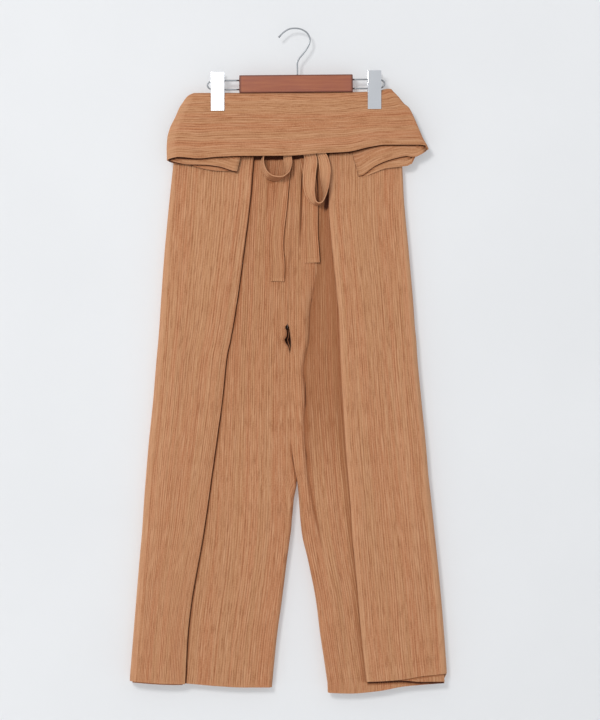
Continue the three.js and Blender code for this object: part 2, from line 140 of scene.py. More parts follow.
# The wall is plaster in front and clear from behind, so that the back of the trousers shows, and
# it lets the lamps behind it through. It glows a little, which keeps the shadows on it faint.
wall_paint, shader, link = new_material(
    "wall paint", Emission_Color=GLOW, Emission_Strength=GLOW_STRENGTH, Roughness=MATT)
grain = link.node("TexNoise", Vector=link.node("TexCoord", out="Object"), Scale=3.0, Detail=4.0)
link.blend(grain.band(0.35, 0.7), PLASTER, PALE_PLASTER).feed(shader, "Base Color")
behind = link.node("NewGeometry", out="Backfacing")
lamp_ray = link.node("LightPath", out="Is Shadow Ray")
clear = link.math("MAXIMUM", behind, lamp_ray)
plaster_face = Link(link.tree, shader.outputs[0])
wall_face = link.node("MixShader", in0=clear, in1=plaster_face, in2=link.node("BsdfTransparent"))
wall_face.feed(link.tree.nodes["Material Output"], "Surface")
plane("wall", [(-ROOM, WALL_Y, FLOOR_Z), (ROOM, WALL_Y, FLOOR_Z), (ROOM, WALL_Y, ROOM),
               (-ROOM, WALL_Y, ROOM)], wall_paint)

MIDDLE = Vector((0, 0, -0.55))
LAMP_SIZE = 0.9
SKY, SKY_STRENGTH = (0.95, 0.965, 1, 1), 0.61
for name, place, power in (
        ("key lamp", (-1.45, -4.1, 1.35), 89), ("window", (-0.62, -3.4, 0.62), 6),
        ("back lamp", (-2.3, 2.4, 1.0), 62)):
    light = bpy.data.lights.new(name, "AREA")
    light.size = LAMP_SIZE
    light.energy = power
    lamp = bpy.data.objects.new(name, light)
    lamp.location = place
    lamp.rotation_euler = (MIDDLE - Vector(place)).to_track_quat("-Z", "Y").to_euler()
    bpy.context.scene.collection.objects.link(lamp)

world = bpy.data.worlds.new("studio")
world.use_nodes = True
sky = world.node_tree.nodes["Background"]
sky.inputs["Color"].default_value = SKY
sky.inputs["Strength"].default_value = SKY_STRENGTH
bpy.context.scene.world = world
bpy.context.scene.view_settings.view_transform = "Standard"

# ---- Legs -------------------------------------------------------------------------------------
# Each leg is two panels of crinkled cotton, ribs down the leg, joined at the inseam and at the
# side. Its outer part is folded forward into one deep pleat, so that the section is a J: back,
# front, and both again where they come over the front. Hems are turned up and stitched.
MM = 0.001
SKIN = 0.9 * MM
GAP = 0.35 * MM
LAYER = 1.35 * MM
INSEAM_ROUND = 6 * MM
INSEAM_GAP = 0.9 * MM
FOLD_ROUND = 9 * MM
UNDER_SHORT = 4 * MM
SEAM_Z = -172.4 * MM
CROTCH_Z = -478 * MM
CROTCH_CLOSE = 10 * MM
HEM_DEEP = 24 * MM


def table(names, rows):
    """A table of named columns, in millimetres, read smoothly against the first and in metres."""
    cells = np.array(sorted(rows), float) * MM
    at = cells[:, 0]

    def reader(values):
        slope = np.diff(values) / np.diff(at)
        both = slope[:-1] * slope[1:]
        total = np.where(both > 0, slope[:-1] + slope[1:], 1)
        middle = np.where(both > 0, 2 * both / total, 0)
        tangent = np.concatenate(([slope[0]], middle, [slope[-1]]))

        def read(x):
            x = np.clip(x, at[0], at[-1])
            k = np.clip(np.searchsorted(at, x) - 1, 0, len(at) - 2)
            step = at[k + 1] - at[k]
            t = (x - at[k]) / step
            return ((1 + 2 * t) * (1 - t) ** 2 * values[k] + t * (1 - t) ** 2 * step * tangent[k]
                    + t * t * (3 - 2 * t) * values[k + 1] - t * t * (1 - t) * step * tangent[k + 1])
        return read
    return SimpleNamespace(**{name: reader(cells[:, k + 1])
                              for k, name in enumerate(names.split()[1:])})


def lerp(low, high, share):
    return low + (high - low) * share


def ease(low, high, value):
    """0 up to low, 1 from high on, and smooth between. low may be the larger."""
    t = np.clip((value - low) / (high - low), 0, 1)
    return t * t * (3 - 2 * t)


def ease_mm(low, high, value):
    return ease(low * MM, high * MM, value)


def streak(value, wide, at=0):
    """1 where value is at, falling off softly over its half width, both in millimetres."""
    return np.exp(-((value - at * MM) / (wide * MM)) ** 2)


def run_along(points):
    """How far along a row of points each one lies."""
    return np.concatenate([[0], np.cumsum(np.linalg.norm(np.diff(points, axis=0), axis=1))])


def laid_out(parts):
    """The columns of a section: the name of the part that each is in, and its place there."""
    names = np.concatenate([[name] * len(at) for name, at in parts])
    return names, np.concatenate([at for _, at in parts])


def drift(u, v, seed):
    """Smooth random heights from -1 to 1, on a grid of unit squares."""
    size = 256
    heights = np.random.default_rng(seed).uniform(-1, 1, (size, size))
    iu, iv = np.floor(u).astype(int), np.floor(v).astype(int)
    fu, fv = ease(0, 1, u - iu), ease(0, 1, v - iv)
    low, high = (lerp(heights[iu % size, row % size], heights[(iu + 1) % size, row % size], fu)
                 for row in (iv, iv + 1))
    return lerp(low, high, fv)


# Ribs of the crinkle, in millimetres: the pitch, how far one strays, the run before it fades,
# and the height. Each is a rounded crest, lowered so that the cloth keeps its mean place.
RIBS = [(3.5, 1.1, 110, 0.5), (5.6, 2.2, 130, 0.1), (11.0, 4.0, 300, 0.1)]
RIB_ROUND, RIB_MEAN = 0.7, 1.35


def ribs(across, along, seed, swing=1.6):
    """Relief of the crinkled cloth: round uneven ribs with sharp creases between them."""
    relief = np.zeros(np.broadcast(across, along).shape)
    across = across + swing * MM * drift(across / (50 * MM), along / (110 * MM), seed + 9)
    for k, (pitch, stray, run, high) in enumerate(RIBS):
        shift = stray * drift(across / (2.3 * pitch * MM), along / (run * MM), seed + 20 + k)
        uneven = drift(across / (1.3 * pitch * MM), along / (0.6 * run * MM), seed + k)
        wave = np.abs(np.sin(np.pi * (across / MM + shift) / pitch))
        relief += high * MM * (0.62 + 0.38 * uneven) * (wave ** RIB_ROUND * 2 - RIB_MEAN)
    return relief


def creases(x, z, rows):
    """Soft ridges (+) and troughs (-), given as rows: both ends, half width and height, in mm."""
    lift = np.zeros(np.broadcast(x, z).shape)
    for row in rows:
        x0, z0, x1, z1, wide, high = np.array(row, float) * MM
        long2 = (x1 - x0) ** 2 + (z1 - z0) ** 2
        along = ((x - x0) * (x1 - x0) + (z - z0) * (z1 - z0)) / long2
        off = ((x - x0) * (z1 - z0) - (z - z0) * (x1 - x0)) / math.sqrt(long2)
        ends = np.clip(1 - (2 * along - 1) ** 4, 0, 1)
        lift += high * np.exp(-(off / wide) ** 2) * ends
    return lift


def shell(name, middle, half, relief, across, along, painted_shade=0, inside=0):
    """A closed cloth wall about a grid of points, and its outer face. UVs are in metres, across the
    ribs and along them. The painted shade darkens the cloth where little light gets in, and where
    it is below 0 it paints a highlight. inside paints shade on the inner face alone. Both go with
    the relief into the attribute that the cloth is coloured by."""
    rows, columns = middle.shape[:2]
    normal = np.cross(np.gradient(middle, axis=1), np.gradient(middle, axis=0))
    normal /= np.maximum(np.linalg.norm(normal, axis=2, keepdims=True), 1e-12)
    half, relief, painted_shade, inside, across, along = (
        np.broadcast_to(value, (rows, columns))
        for value in (half, relief, painted_shade, inside, across, along))
    outer = middle + normal * (relief + half)[..., None]
    faces_at = np.stack([outer, middle + normal * (relief - half)[..., None]])
    count = rows * columns
    top, under = np.arange(2 * count).reshape(2, rows, columns)

    def quads(*corners):
        return np.stack([corner.ravel() for corner in corners], axis=1)

    faces = [quads(top[:-1, :-1], top[:-1, 1:], top[1:, 1:], top[1:, :-1]),
             quads(under[:-1, :-1], under[1:, :-1], under[1:, 1:], under[:-1, 1:])]
    smooth_faces = 2 * len(faces[0])
    for here, side in ((np.s_[0, :], 1), (np.s_[-1, :], -1), (np.s_[:, 0], -1), (np.s_[:, -1], 1)):
        a, b = top[here][::side], under[here][::side]
        faces.append(quads(a[:-1], b[:-1], b[1:], a[1:]))
    faces = np.concatenate(faces)
    mesh = bpy.data.meshes.new(name)
    mesh.vertices.add(2 * count)
    mesh.vertices.foreach_set("co", faces_at.ravel())
    mesh.loops.add(4 * len(faces))
    mesh.loops.foreach_set("vertex_index", faces.ravel())
    mesh.polygons.add(len(faces))
    mesh.polygons.foreach_set("loop_start", np.arange(len(faces)) * 4)
    mesh.update(calc_edges=True)
    mesh.polygons.foreach_set("use_smooth", np.arange(len(faces)) < smooth_faces)
    uv = np.tile(np.stack([across.ravel(), along.ravel()], axis=1), (2, 1))
    mesh.uv_layers.new(name="cloth").data.foreach_set("uv", uv[faces.ravel()].ravel())
    crest_and_shade = np.tile((relief / MM - painted_shade).ravel(), 2)
    crest_and_shade -= np.repeat([0, 1], count) * np.tile(inside.ravel(), 2)
    mesh.attributes.new("crest_and_shade", "FLOAT", "POINT").data.foreach_set("value", crest_and_shade)
    mesh.validate()
    return mesh, outer


def piece(name, mesh, material, slot, *nodes):
    """One finished piece of the object, in the place of its plain solids."""
    mesh.materials.clear()
    mesh.materials.append(material)
    obj = bpy.data.objects.new(name, mesh)
    bpy.context.scene.collection.objects.link(obj)
    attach(obj, "root")
    if nodes:
        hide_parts(*nodes)
    return obj


TERRACOTTA = (0.462, 0.194, 0.09, 1)
TAN = (0.465, 0.224, 0.106, 1)
RUST = (0.40, 0.148, 0.06, 1)
# STRAW is a thread colour, and also the painted highlight on the rib tops. CREVICE is a thread
# colour, and also the painted shade where the ribs meet. DEEP is the darkest painted shade.
STRAW = (0.60, 0.325, 0.178, 1)
CREVICE = (0.24, 0.072, 0.02, 1)
DEEP = (0.055, 0.012, 0.004, 1)


def crinkled_cotton(name, thread=1.0):
    """Cotton with uneven coloured threads along its ribs, with painted shade where the ribs meet
    and a painted highlight on their tops. Each colour has its width and run in millimetres, its
    noise's detail and limits, and its share."""
    material, shader, link = new_material(
        name, Specular_IOR_Level=0.25, Sheen_Weight=0.08, Sheen_Roughness=0.45,
        Sheen_Tint=(1, 0.8, 0.62, 1))
    place = link.node("UVMap", {"uv_map": "cloth"})

    def noise(wide, run, detail=2.0):
        stretched = link.node("Mapping", Vector=place, Scale=(1 / (wide * MM), 1 / (run * MM), 1))
        return link.node("TexNoise", {"noise_dimensions": "2D"}, Vector=stretched, Scale=1.0,
                         Detail=detail)

    colour = link.blend(noise(14, 600).band(0.36, 0.64), TERRACOTTA, TAN)
    for wide, run, detail, low, high, share, dye in (
            (6, 500, 2, 0.45, 0.75, 0.28, STRAW), (5, 420, 2, 0.5, 0.75, 0.26, RUST),
            (1.9, 46, 1, 0.5, 0.72, 0.52 * thread, STRAW),
            (2, 27, 1, 0.5, 0.74, 0.42 * thread, CREVICE),
            (4, 1.8, 1, 0.4, 0.7, 0.24 * thread, STRAW)):
        colour = link.blend(noise(wide, run, detail).band(low, high) * share, colour, dye)
    # Painted light from the cloth's relief-and-shade attribute: a painted highlight on the rib
    # tops, painted shade where the ribs meet, and near-black painted shade where the painted shade
    # is strongest.
    crest_and_shade = link.node("Attribute", {"attribute_name": "crest_and_shade"}, out="Fac")
    colour = link.blend(crest_and_shade.band(0.0, 0.32) * 0.4, colour, STRAW)
    colour = link.blend((1 - crest_and_shade.band(-0.6, 0.0)) * 0.62, colour, CREVICE)
    colour = link.blend((1 - crest_and_shade.band(-2.6, -1.2)) * 0.95, colour, DEEP)
    colour.feed(shader, "Base Color")
    threads = noise(1.9, 30) + noise(0.7, 5) * 0.5 + noise(5, 0.8, 1) * 0.25
    bump = link.node("Bump", Height=threads, Strength=0.7 * thread, Distance=0.5 * MM)
    bump.feed(shader, "Normal")
    (noise(2, 60).band(0.2, 0.8) * 0.12 + 0.82).feed(shader, "Roughness")
    return material


leg_cotton = crinkled_cotton("crinkled cotton down the leg")

# The panels' depths, how far the pleat swells over the front, how far the front panel's outer
# fold lies inside the back's, and how far the right panel laps over the left one at the middle.
# Then how far the inseam is closed, and the right panel's long ridge: its foot, height and shade.
depth = table("z back front puff inset lap", [
    (-172, 7.0, 5.25, 0.2, 2.2, 1.2), (-205, 7.6, 5.2, 0.6, 2.8, 1.2),
    (-240, 8.8, 4.4, 1.2, 3.6, 1.2), (-290, 10.2, 2.6, 2.0, 4.6, 1.2),
    (-350, 11.4, 0.6, 2.6, 5.4, 1.2), (-420, 12.3, -0.8, 2.8, 6, 1.2),
    (-465, 12.7, -1.2, 2.8, 6, 1), (-482, 12.8, -1.3, 2.8, 6, 0), (-508, 12.9, -1.5, 2.8, 6, 0),
    (-526, 12.9, -1.7, 2.8, 6, 2.4), (-650, 13.2, -2, 2.9, 6, 2.4), (-700, 13.4, -2.2, 3, 6, 2.2),
    (-724, 13.4, -2.2, 3, 6, 1), (-745, 13.5, -2.3, 3, 6, 0), (-800, 13.6, -2.4, 3.1, 6, 0),
    (-1070, 13, -1.6, 3.6, 4.8, 0)])
hole = table("z closed", [
    (-464, 0), (-473, 1000), (-500, 1000), (-508, 860), (-516, 900), (-526, 1000), (-560, 0)])
ridge = table("z valley height dark", [
    (-200, 34, 0, 0), (-300, 36, 0.5, 0), (-386, 34, 2.5, 300), (-418, 27.5, 4, 800),
    (-450, 21.6, 4.5, 900), (-498, 19.5, 4.8, 900),
    (-546, 11.6, 5, 600), (-570, 13.6, 5, 1000), (-594, 14.4, 5, 1200), (-626, 13, 4.8, 600),
    (-666, 14.4, 4.5, 700), (-682, 15.8, 4.3, 1100), (-706, 17.3, 4, 600), (-738, 22.4, 3.6, 500),
    (-762, 26.6, 3, 600), (-850, 46, 0, 0)])
# How far down the folded band's shade reaches on the front panels.
band_shade = table("x z", [
    (-90, -206), (-76, -209.6), (-12, -209.6), (6, -208), (20, -204.6), (36, -202.2), (82, -199.8),
    (120, -191.5)])

# Each leg: its outline down its length, its tail, its hem, and the creases of each face. shadows
# are drawn dark in the narrow folds under the band, and have no height of their own.
LEFT = SimpleNamespace(
    side=-1, seed=100, roll=0.8 * MM, swell=0.2 * MM, groove=1.1 * MM,
    outline=table("z outer pleat inner grain", [
        (-172, -192, -63, 0, 0), (-218, -197, -69, -2, -1.6), (-274, -203, -73.6, -5, -3.6),
        (-354, -210.7, -83.5, -8, -6.2), (-434, -216.5, -94.4, -11.5, -8.4),
        (-472, -218.9, -100.4, -13.2, -9.2), (-478, -219.3, -101.5, -17.4, -9.3),
        (-484, -219.8, -102.6, -14.6, -9.4), (-491, -220.3, -103.9, -14.2, -9.5),
        (-498, -220.9, -105.1, -18, -9.6), (-504, -221.4, -106.4, -15.6, -9.7),
        (-510, -222, -107.8, -11.2, -9.7), (-522, -223.2, -110.5, -9.2, -9.8),
        (-594, -229.1, -118.4, -7.4, -9.6),
        (-674, -237.1, -129, -5, -8.4), (-724, -241.3, -136.2, 1.6, -7.6),
        (-756, -243.8, -140.5, -3.7, -7.9), (-807, -247.2, -148, -8.3, -10),
        (-850, -251, -155.4, -14.4, -14), (-914, -256.3, -166.7, -22.4, -22.4),
        (-969, -260.8, -173.1, -29.8, -29.8), (-1049, -267.2, -177.6, -38.4, -38.4)]),
    tail=[(-12, -190, 9), (-17, -207, 10.5), (-21.3, -242, 10.7), (-25.7, -290, 10.7),
          (-30, -327, 10.7), (-30.9, -350, 10.7), (-28.8, -378, 10.7), (-29.4, -404.3, 10.7)],
    hem=table("x back front under pleat", [
        (-270, -1046, -1047, -1046.5, -1044.8), (-205, -1047, -1048, -1050.5, -1049),
        (-178, -1048, -1049, -1051, -1049.6), (-126, -1051, -1053.3, -1051, -1050),
        (-83, -1053, -1055.5, -1051, -1050), (-38, -1055, -1055.5, -1051, -1050)]),
    front=[(-50, -260, -90, -560, 14, -1.2), (-40, -420, -62, -900, 18, 1.4),
           (-18, -505, -52, -560, 4, -1.1), (-20, -490, -58, -470, 3.5, -1.0),
           (-19, -497, -50, -512, 3, 0.9), (-17, -480, -36, -430, 3.5, -0.9),
           (-95, -640, -110, -1040, 12, -1.2), (-30, -560, -38, -800, 10, 1.0)],
    shadows=[(-47, -236, -30, -244.5, 3, 1.8), (-34, -245.5, -14, -242, 3, 2.0),
             (-15, -243, -8, -212, 2.6, 2.0), (-46, -205, -43, -234, 1.4, 1.4),
             (-45.6, -245, -47, -300, 1.1, 0.7), (-40, -405.6, -19, -405.6, 1, 1.1),
             (-9, -664, 0.6, -728, 1.4, 2.2)],
    pleat=[(-100, -240, -140, -700, 14, 1.2), (-150, -260, -175, -620, 18, -1.2),
           (-180, -420, -215, -860, 15, 1.4), (-190, -700, -225, -1040, 13, -1.2),
           (-120, -480, -150, -900, 12, 1.0)],
    back=[(-56, -200, -74, -640, 13, 3.4), (-112, -230, -148, -800, 11, -3.2),
          (-20, -476, -96, -340, 6, -2.4), (-18, -482, -70, -420, 4, 2.0),
          (-176, -280, -214, -820, 9, 3.0), (-84, -620, -112, -1040, 12, 3.4),
          (-152, -700, -190, -1040, 10, -3.0), (-24, -505, -78, -660, 7, -2.6),
          (-140, -200, -120, -330, 6, 1.8), (-60, -760, -66, -1020, 6, -1.8),
          (-88, -190, -84, -260, 4, -1.6)])
RIGHT = SimpleNamespace(
    side=1, seed=200, roll=1.5 * MM, swell=1.6 * MM, groove=0,
    outline=table("z outer pleat inner grain", [
        (-172, 167, 53, 0, 0), (-218, 170.4, 52.8, -2, -1.6), (-274, 173.3, 52.8, -5, -3.6),
        (-354, 180.5, 58.5, -8, -5.8), (-434, 187.6, 66.5, -11.5, -7.2),
        (-472, 190.3, 69.2, -13.2, -7.6), (-478, 190.8, 69.6, -11, -7.6),
        (-485, 191.5, 69.9, -10.4, -7.6), (-493, 192.5, 70.2, -9.6, -7.6),
        (-500, 193.2, 70.5, -8.6, -7.6),
        (-522, 194.4, 71.2, -8.4, -7.4), (-594, 201.2, 75, -6.6, -5.6), (-674, 209, 80, -4.2, -1.6),
        (-724, 213.3, 84.2, 2.4, 2), (-756, 217, 87, 4.6, 5), (-807, 222.4, 90, 9, 11),
        (-850, 226.8, 94, 18.6, 18.6), (-914, 233, 99.8, 31.4, 31.4),
        (-969, 237.6, 104.5, 38.5, 38.5), (-1049, 243.2, 113.6, 50.7, 50.7)]),
    tail=[(10, -190, 8), (17, -215, 9.5), (22.5, -245, 10.5), (24, -284, 10.9), (24, -325, 11),
          (25.4, -357, 11.8), (26.2, -374.5, 12)],
    hem=table("x back front under pleat", [
        (50, -1061, -1063.8, -1046, -1046), (87, -1062, -1065, -1046, -1046),
        (131, -1058, -1061.4, -1045, -1045), (172, -1052, -1054, -1043.5, -1041.8),
        (199, -1049, -1051.4, -1045.8, -1037.4), (245, -1046, -1048, -1045.8, -1032.8)]),
    front=[(12, -180, 6, -350, 1.6, -1.5), (50, -560, 70, -1040, 14, 1.2),
           (30, -700, 52, -1040, 9, -1.2), (62, -640, 84, -1040, 9, -1.4),
           (-2, -490, 30, -430, 4, 0.9), (-4, -500, 22, -520, 4, -0.9),
           (44, -280, 40, -470, 9, -1.4), (34, -270, 44, -360, 3, -0.9)],
    shadows=[(52, -250, 46, -295, 3.3, 2.2), (52, -256, 50, -292, 2.2, 1.4),
             (19, -277, 30, -284, 1.8, 1.2), (28, -284.5, 44, -290, 2.6, 1.3),
             (42, -288, 39, -332, 1.3, 1.0), (32.5, -212, 34, -274, 2.6, 3),
             (13, -376.6, 39, -378.4, 1.1, 1.4)],
    pleat=[(95, -240, 120, -820, 15, 1.2), (140, -250, 170, -700, 16, -1.2),
           (70, -240, 108, -900, 9, 1.4), (165, -460, 205, -1000, 15, 1.2),
           (130, -640, 160, -1030, 14, -1.2)],
    back=[(46, -200, 58, -560, 12, 3.2), (100, -240, 138, -760, 12, -3.2),
          (14, -474, 84, -360, 6, -2.4), (10, -484, 60, -428, 4, 2.0),
          (146, -260, 188, -760, 10, 3.0), (78, -600, 112, -1040, 13, 3.4),
          (142, -780, 172, -1040, 9, -3.0), (20, -512, 66, -640, 6, -2.6),
          (120, -195, 112, -300, 5, 1.8), (98, -840, 104, -1030, 6, -1.8),
          (70, -190, 74, -250, 4, -1.6)])


def slow_wave(x, z):
    """The wide uneven swell of the front, below the band."""
    return 1.2 * MM * drift(x / (60 * MM) + 9, z / (210 * MM), 140) * ease(-0.2, -0.32, z)


def front_surface(leg, x, z):
    """Where a front panel's middle surface lies. The right one has a long ridge beside the
    inseam, steep on its outer side, and the left one a groove along the pleat's edge."""
    x, z = np.broadcast_arrays(x, z)
    y = depth.front(z)
    inner = leg.outline.inner(z)
    if leg is RIGHT:
        lap = depth.lap(z)
        across = np.clip((x - inner + lap) / (ridge.valley(z) - inner + lap), 0, 1.4)
        steep = np.sin(np.pi * np.clip(across, 0, 1) ** 2.2)
        y = y - ridge.height(z) * steep - (lap > 0) * LAYER * 0.7 * ease(1, 0.2, across)
    edge = leg.side * (x - leg.outline.pleat(z))
    y = y + leg.groove * streak(edge, 1.3, -0.9)
    y = y + slow_wave(x, z)
    return y - creases(x, z, leg.front) * ease_mm(0, 12, leg.side * (x - inner))


LEG_Z = np.concatenate([
    np.linspace(SEAM_Z, -190 * MM, 3), np.linspace(-192 * MM, -214 * MM, 15),
    np.linspace(-222 * MM, -460 * MM, 28), np.linspace(-462 * MM, -560 * MM, 34),
    np.linspace(-569 * MM, -990 * MM, 45)])
HEM_UP = np.array([33, HEM_DEEP / MM + 1.5, HEM_DEEP / MM, 22, 20, 18.5, 17, 15.5, 14, 12.5, 11,
                   9.5, 8, 6.5, 5, 3.5, 2, 0.6, 0]) * MM
STITCH_ROW = len(LEG_Z) + 2

# How dark the painted shade is, where 3 is nearly black: under the folded band, under the hem of
# the panel in front, along the top of the turned-up hem, beside a tail, along a fold's edge, and
# inside the cloth by the crotch's hole.
BAND_SHADE, BAND_SHADE_BEHIND = 3.2, 2.6
HEM_SHADE, HEM_TURN_SHADE, HEM_LINE = 2.4, 1.8, 0.08
TAIL_SHADE, PLEAT_SHADE, LOOSE_PLEAT_SHADE = 2.4, 3, 1.2
VALLEY_SHADE, VALLEY_SIDE_SHADE = 1.7, 0.3
HOLE_SHADE = 3
# Creases of a smaller half width than this, in millimetres, are drawn dark as well.
NARROW = 2


def front_shade(leg, part, x, z):
    """How dark a front panel is at each point, on both faces and on its inner one alone."""
    edge = leg.side * (x - leg.outline.pleat(z))
    flat = np.isin(part, ["corner", "main"])
    shade = band_shade.z(x)
    painted_shade = BAND_SHADE * ease(shade - 0.8 * MM, shade + 1.8 * MM, z)
    below = np.minimum(leg.hem.under(x), leg.hem.pleat(x)) - z
    painted_shade += HEM_SHADE * (part == "main") * (
        ease_mm(7, 2.5, below) * ease_mm(-1.5, 0, below) * ease_mm(-1, 3, edge))
    below = leg.hem.pleat(x) - z
    uncovered = ease_mm(2, 0, below)
    painted_shade += HEM_TURN_SHADE * ease_mm(2.2, 0.6, below) * ~flat * (below > -3 * MM)
    right_edge = table("z x", [(z0, x0 + wide) for x0, z0, wide in leg.tail])
    beside_tail = streak(x - right_edge.x(z), 0.9, 0.5)
    painted_shade += TAIL_SHADE * beside_tail * (z > (leg.tail[-1][1] - 1) * MM)
    if leg is LEFT:
        painted_shade += uncovered * (PLEAT_SHADE * streak(edge, 1.3, -0.8) + 0.2 * ease_mm(-10, 0, edge))
    else:
        past = x - ridge.valley(z)
        painted_shade += ridge.dark(z) * (VALLEY_SHADE * streak(past, 1.4, 0.8)
                                 + VALLEY_SIDE_SHADE * (past > 0) * ease_mm(14, 0, past))
        painted_shade += VALLEY_SIDE_SHADE * (
            ease_mm(-2, 4, past) * ease_mm(-780, -600, z) * ease_mm(0, -2, edge))
        loose = streak(edge, 0.9, -0.5) * ease_mm(-640, -780, z)
        painted_shade += uncovered * (0.3 * ease_mm(-15, -3, edge) + LOOSE_PLEAT_SHADE * loose)
    narrow = [row for row in leg.front if row[4] < NARROW]
    painted_shade -= creases(x, z, narrow) / MM * 1.6
    painted_shade += creases(x, z, leg.shadows) / MM * uncovered * (part != "turn")
    return painted_shade + 0.1 + 0.12 * ease_mm(-720, -420, z), 0 * z


def back_shade(leg, part, x, z):
    """How dark a back panel's painted shade is at each point, on both faces and on its inner one
    alone. Below 0 it is a painted highlight.
    """
    edge = leg.side * (x - leg.outline.pleat(z))
    over = np.isin(part, ["folded", "lip"])
    by_hole = ease_mm(16, 8, np.abs(x + 13 * MM)) * (
        ease_mm(-464, -472, z) * ease_mm(-535, -520, z))
    # A painted highlight on the outer fold. On the back's own face, painted shade lies in the
    # crease troughs and a painted highlight on their ridges.
    painted_shade = 0.06 - 0.46 * (part == "turn")
    painted_shade = painted_shade - 0.22 * creases(x, z, leg.back) / MM * (part == "main")
    shade = np.maximum(band_shade.z(x), -205.4 * MM)
    painted_shade += BAND_SHADE_BEHIND * ease(shade, shade + 1.2 * MM, z) * over
    # A painted highlight along the right pleat's rolled edge.
    if leg is RIGHT:
        painted_shade -= 0.45 * ease_mm(8, 3, edge) * over
    return painted_shade, HOLE_SHADE * by_hole * np.isin(part, ["corner", "main"])


def leg_panel(name, leg, panel):
    """One leg panel, as a grid of points down its length and round its section. Gives the mesh
    and the lines that its hem's stitches follow."""
    is_front = panel == "front"
    main = (np.concatenate([np.linspace(0.004, 0.64, 165), np.linspace(0.66, 1, 16)])
            if is_front else np.linspace(0.005, 1, 128))
    parts = [("corner", np.linspace(0, 1, 7)), ("main", main),
             ("turn", np.linspace(0.04, 0.98, 10 if is_front else 24)),
             ("folded", np.linspace(0.06, 1, 14) if is_front else np.linspace(0.01, 1, 140))]
    if not is_front:
        parts.append(("lip", np.linspace(0.15, 1, 6)))
    part, at = laid_out(parts)
    flat, turn = np.isin(part, ["corner", "main"]), part == "turn"
    side, outline = leg.side, leg.outline

    def section(z):
        lap = depth.lap(z)
        front = depth.front(z)
        near = front if is_front else depth.back(z)
        far = front - (1 if is_front else 2) * LAYER
        shut = np.clip((CROTCH_Z - z) / CROTCH_CLOSE, 0, 1)
        inner = side * outline.inner(z) + GAP / 2 + SKIN / 2 * shut
        if is_front:
            inner = inner - lap * (side > 0)
        else:
            centre = (LEFT.outline.inner(z) + RIGHT.outline.inner(z)) / 2
            inner = lerp(inner, side * centre + GAP / 2, hole.closed(z))
        tip = side * outline.outer(z) - SKIN / 2 - (depth.inset(z) if is_front else 0)
        high = (near - far) / 2
        bend = np.minimum(FOLD_ROUND, np.abs(high))
        sharp = np.clip(lap / (2 * MM), 0, 1) * is_front
        rounding = lerp(INSEAM_ROUND, 1.2 * MM, sharp)
        inseam = (front + depth.back(z)) / 2 + (-1 if is_front else 1) * INSEAM_GAP / 2
        inseam = lerp(inseam, front + 1.2 * MM, sharp)
        quarter, half_turn = at * np.pi / 2, at * np.pi
        grain = side * outline.grain(z)
        flat_out = lerp(grain + rounding, tip - bend, at)
        flat_out = flat_out + (inner - grain) * ease_mm(26, 0, flat_out - grain - rounding)
        corner_y = lerp(near, inseam + (near - inseam) * np.sin(quarter), shut)
        corner_out = inner + rounding * lerp(at, 1 - np.cos(quarter), shut)
        edge = side * outline.pleat(z) + (UNDER_SHORT if is_front else leg.roll + SKIN / 2)
        kinds = [part == "corner", part == "main", turn, part == "folded"]
        out = np.select(kinds, [
            corner_out, flat_out,
            tip - bend + bend * np.sin(half_turn), lerp(tip - bend, edge, at)],
            edge - leg.roll * np.sin(half_turn))
        y = np.select(kinds, [
            corner_y, near, (near + far) / 2 + high * np.cos(half_turn), far + 0 * at],
            far + leg.roll * (1 - np.cos(half_turn)))
        slide = np.select(kinds[:2], [
            corner_out - grain - INSEAM_ROUND * at,
            flat_out - lerp(grain + INSEAM_ROUND, tip - bend, at)], 0)
        x = side * out
        in_from_edge = side * (x - outline.pleat(z))
        swell = depth.puff(z) * np.sin(np.pi * np.clip(
            in_from_edge / (side * (outline.outer(z) - outline.pleat(z))), 0, 1) ** 0.7)
        wave = slow_wave(x, z)
        over = wave - swell - creases(x, z, leg.pleat) * ease_mm(0, 15, in_from_edge)
        if is_front:
            y = np.where(flat, y - front + front_surface(leg, x, z),
                         y + wave + (over - wave) * np.where(turn, ease(0.4, 1, at), 1))
        else:
            lift = creases(x, z, leg.back) * ease_mm(0, 12, side * x - inner)
            rolled = leg.swell * ease_mm(26, 2, in_from_edge)
            y = y + np.select([flat, turn], [lift, over * ease(0.4, 1, at)], over - rolled)
        return x, y, slide

    hem_x, _, _ = section(np.full((1, len(at)), -1049 * MM))
    near_hem = (leg.hem.front if is_front else leg.hem.back)(hem_x)
    far_hem = (leg.hem.under if is_front else leg.hem.pleat)(hem_x)
    end = lerp(near_hem, far_hem, np.select([flat, turn], [0, ease(0, 0.5, at)], 1))
    z = np.concatenate([np.repeat(LEG_Z[:, None], len(at), axis=1), end + HEM_UP[:, None]])
    x, y, slide = section(z)
    middle = np.stack([x, y, z], axis=2)

    at_row = len(LEG_Z) // 2
    across = run_along(middle[at_row]) + slide - slide[at_row]
    relief = ribs(across, z, leg.seed + (0 if is_front else 50))
    relief *= np.clip((z - end) / (6 * MM), 0.3, 1)
    if is_front:
        relief *= np.where(flat, 1, 0.3)
    half = SKIN / 2 + 0.12 * MM * (z < end + HEM_DEEP + 1 * MM)
    painted_shade, inside = (front_shade if is_front else back_shade)(leg, part, x, z)
    # A faint painted shade line where the turned-up hem's edge lies inside the cloth.
    painted_shade = painted_shade + HEM_LINE * streak(z - end - HEM_DEEP, 1.1)
    round_it = np.s_[:, ::-side if is_front else side]
    mesh, outer = shell(name, *(grid[round_it] for grid in (
        middle, half, relief, across, z, painted_shade, inside)))
    outer = outer[round_it]
    return mesh, [outer[STITCH_ROW, part == word][1:-1] for word in ("main", "folded")]


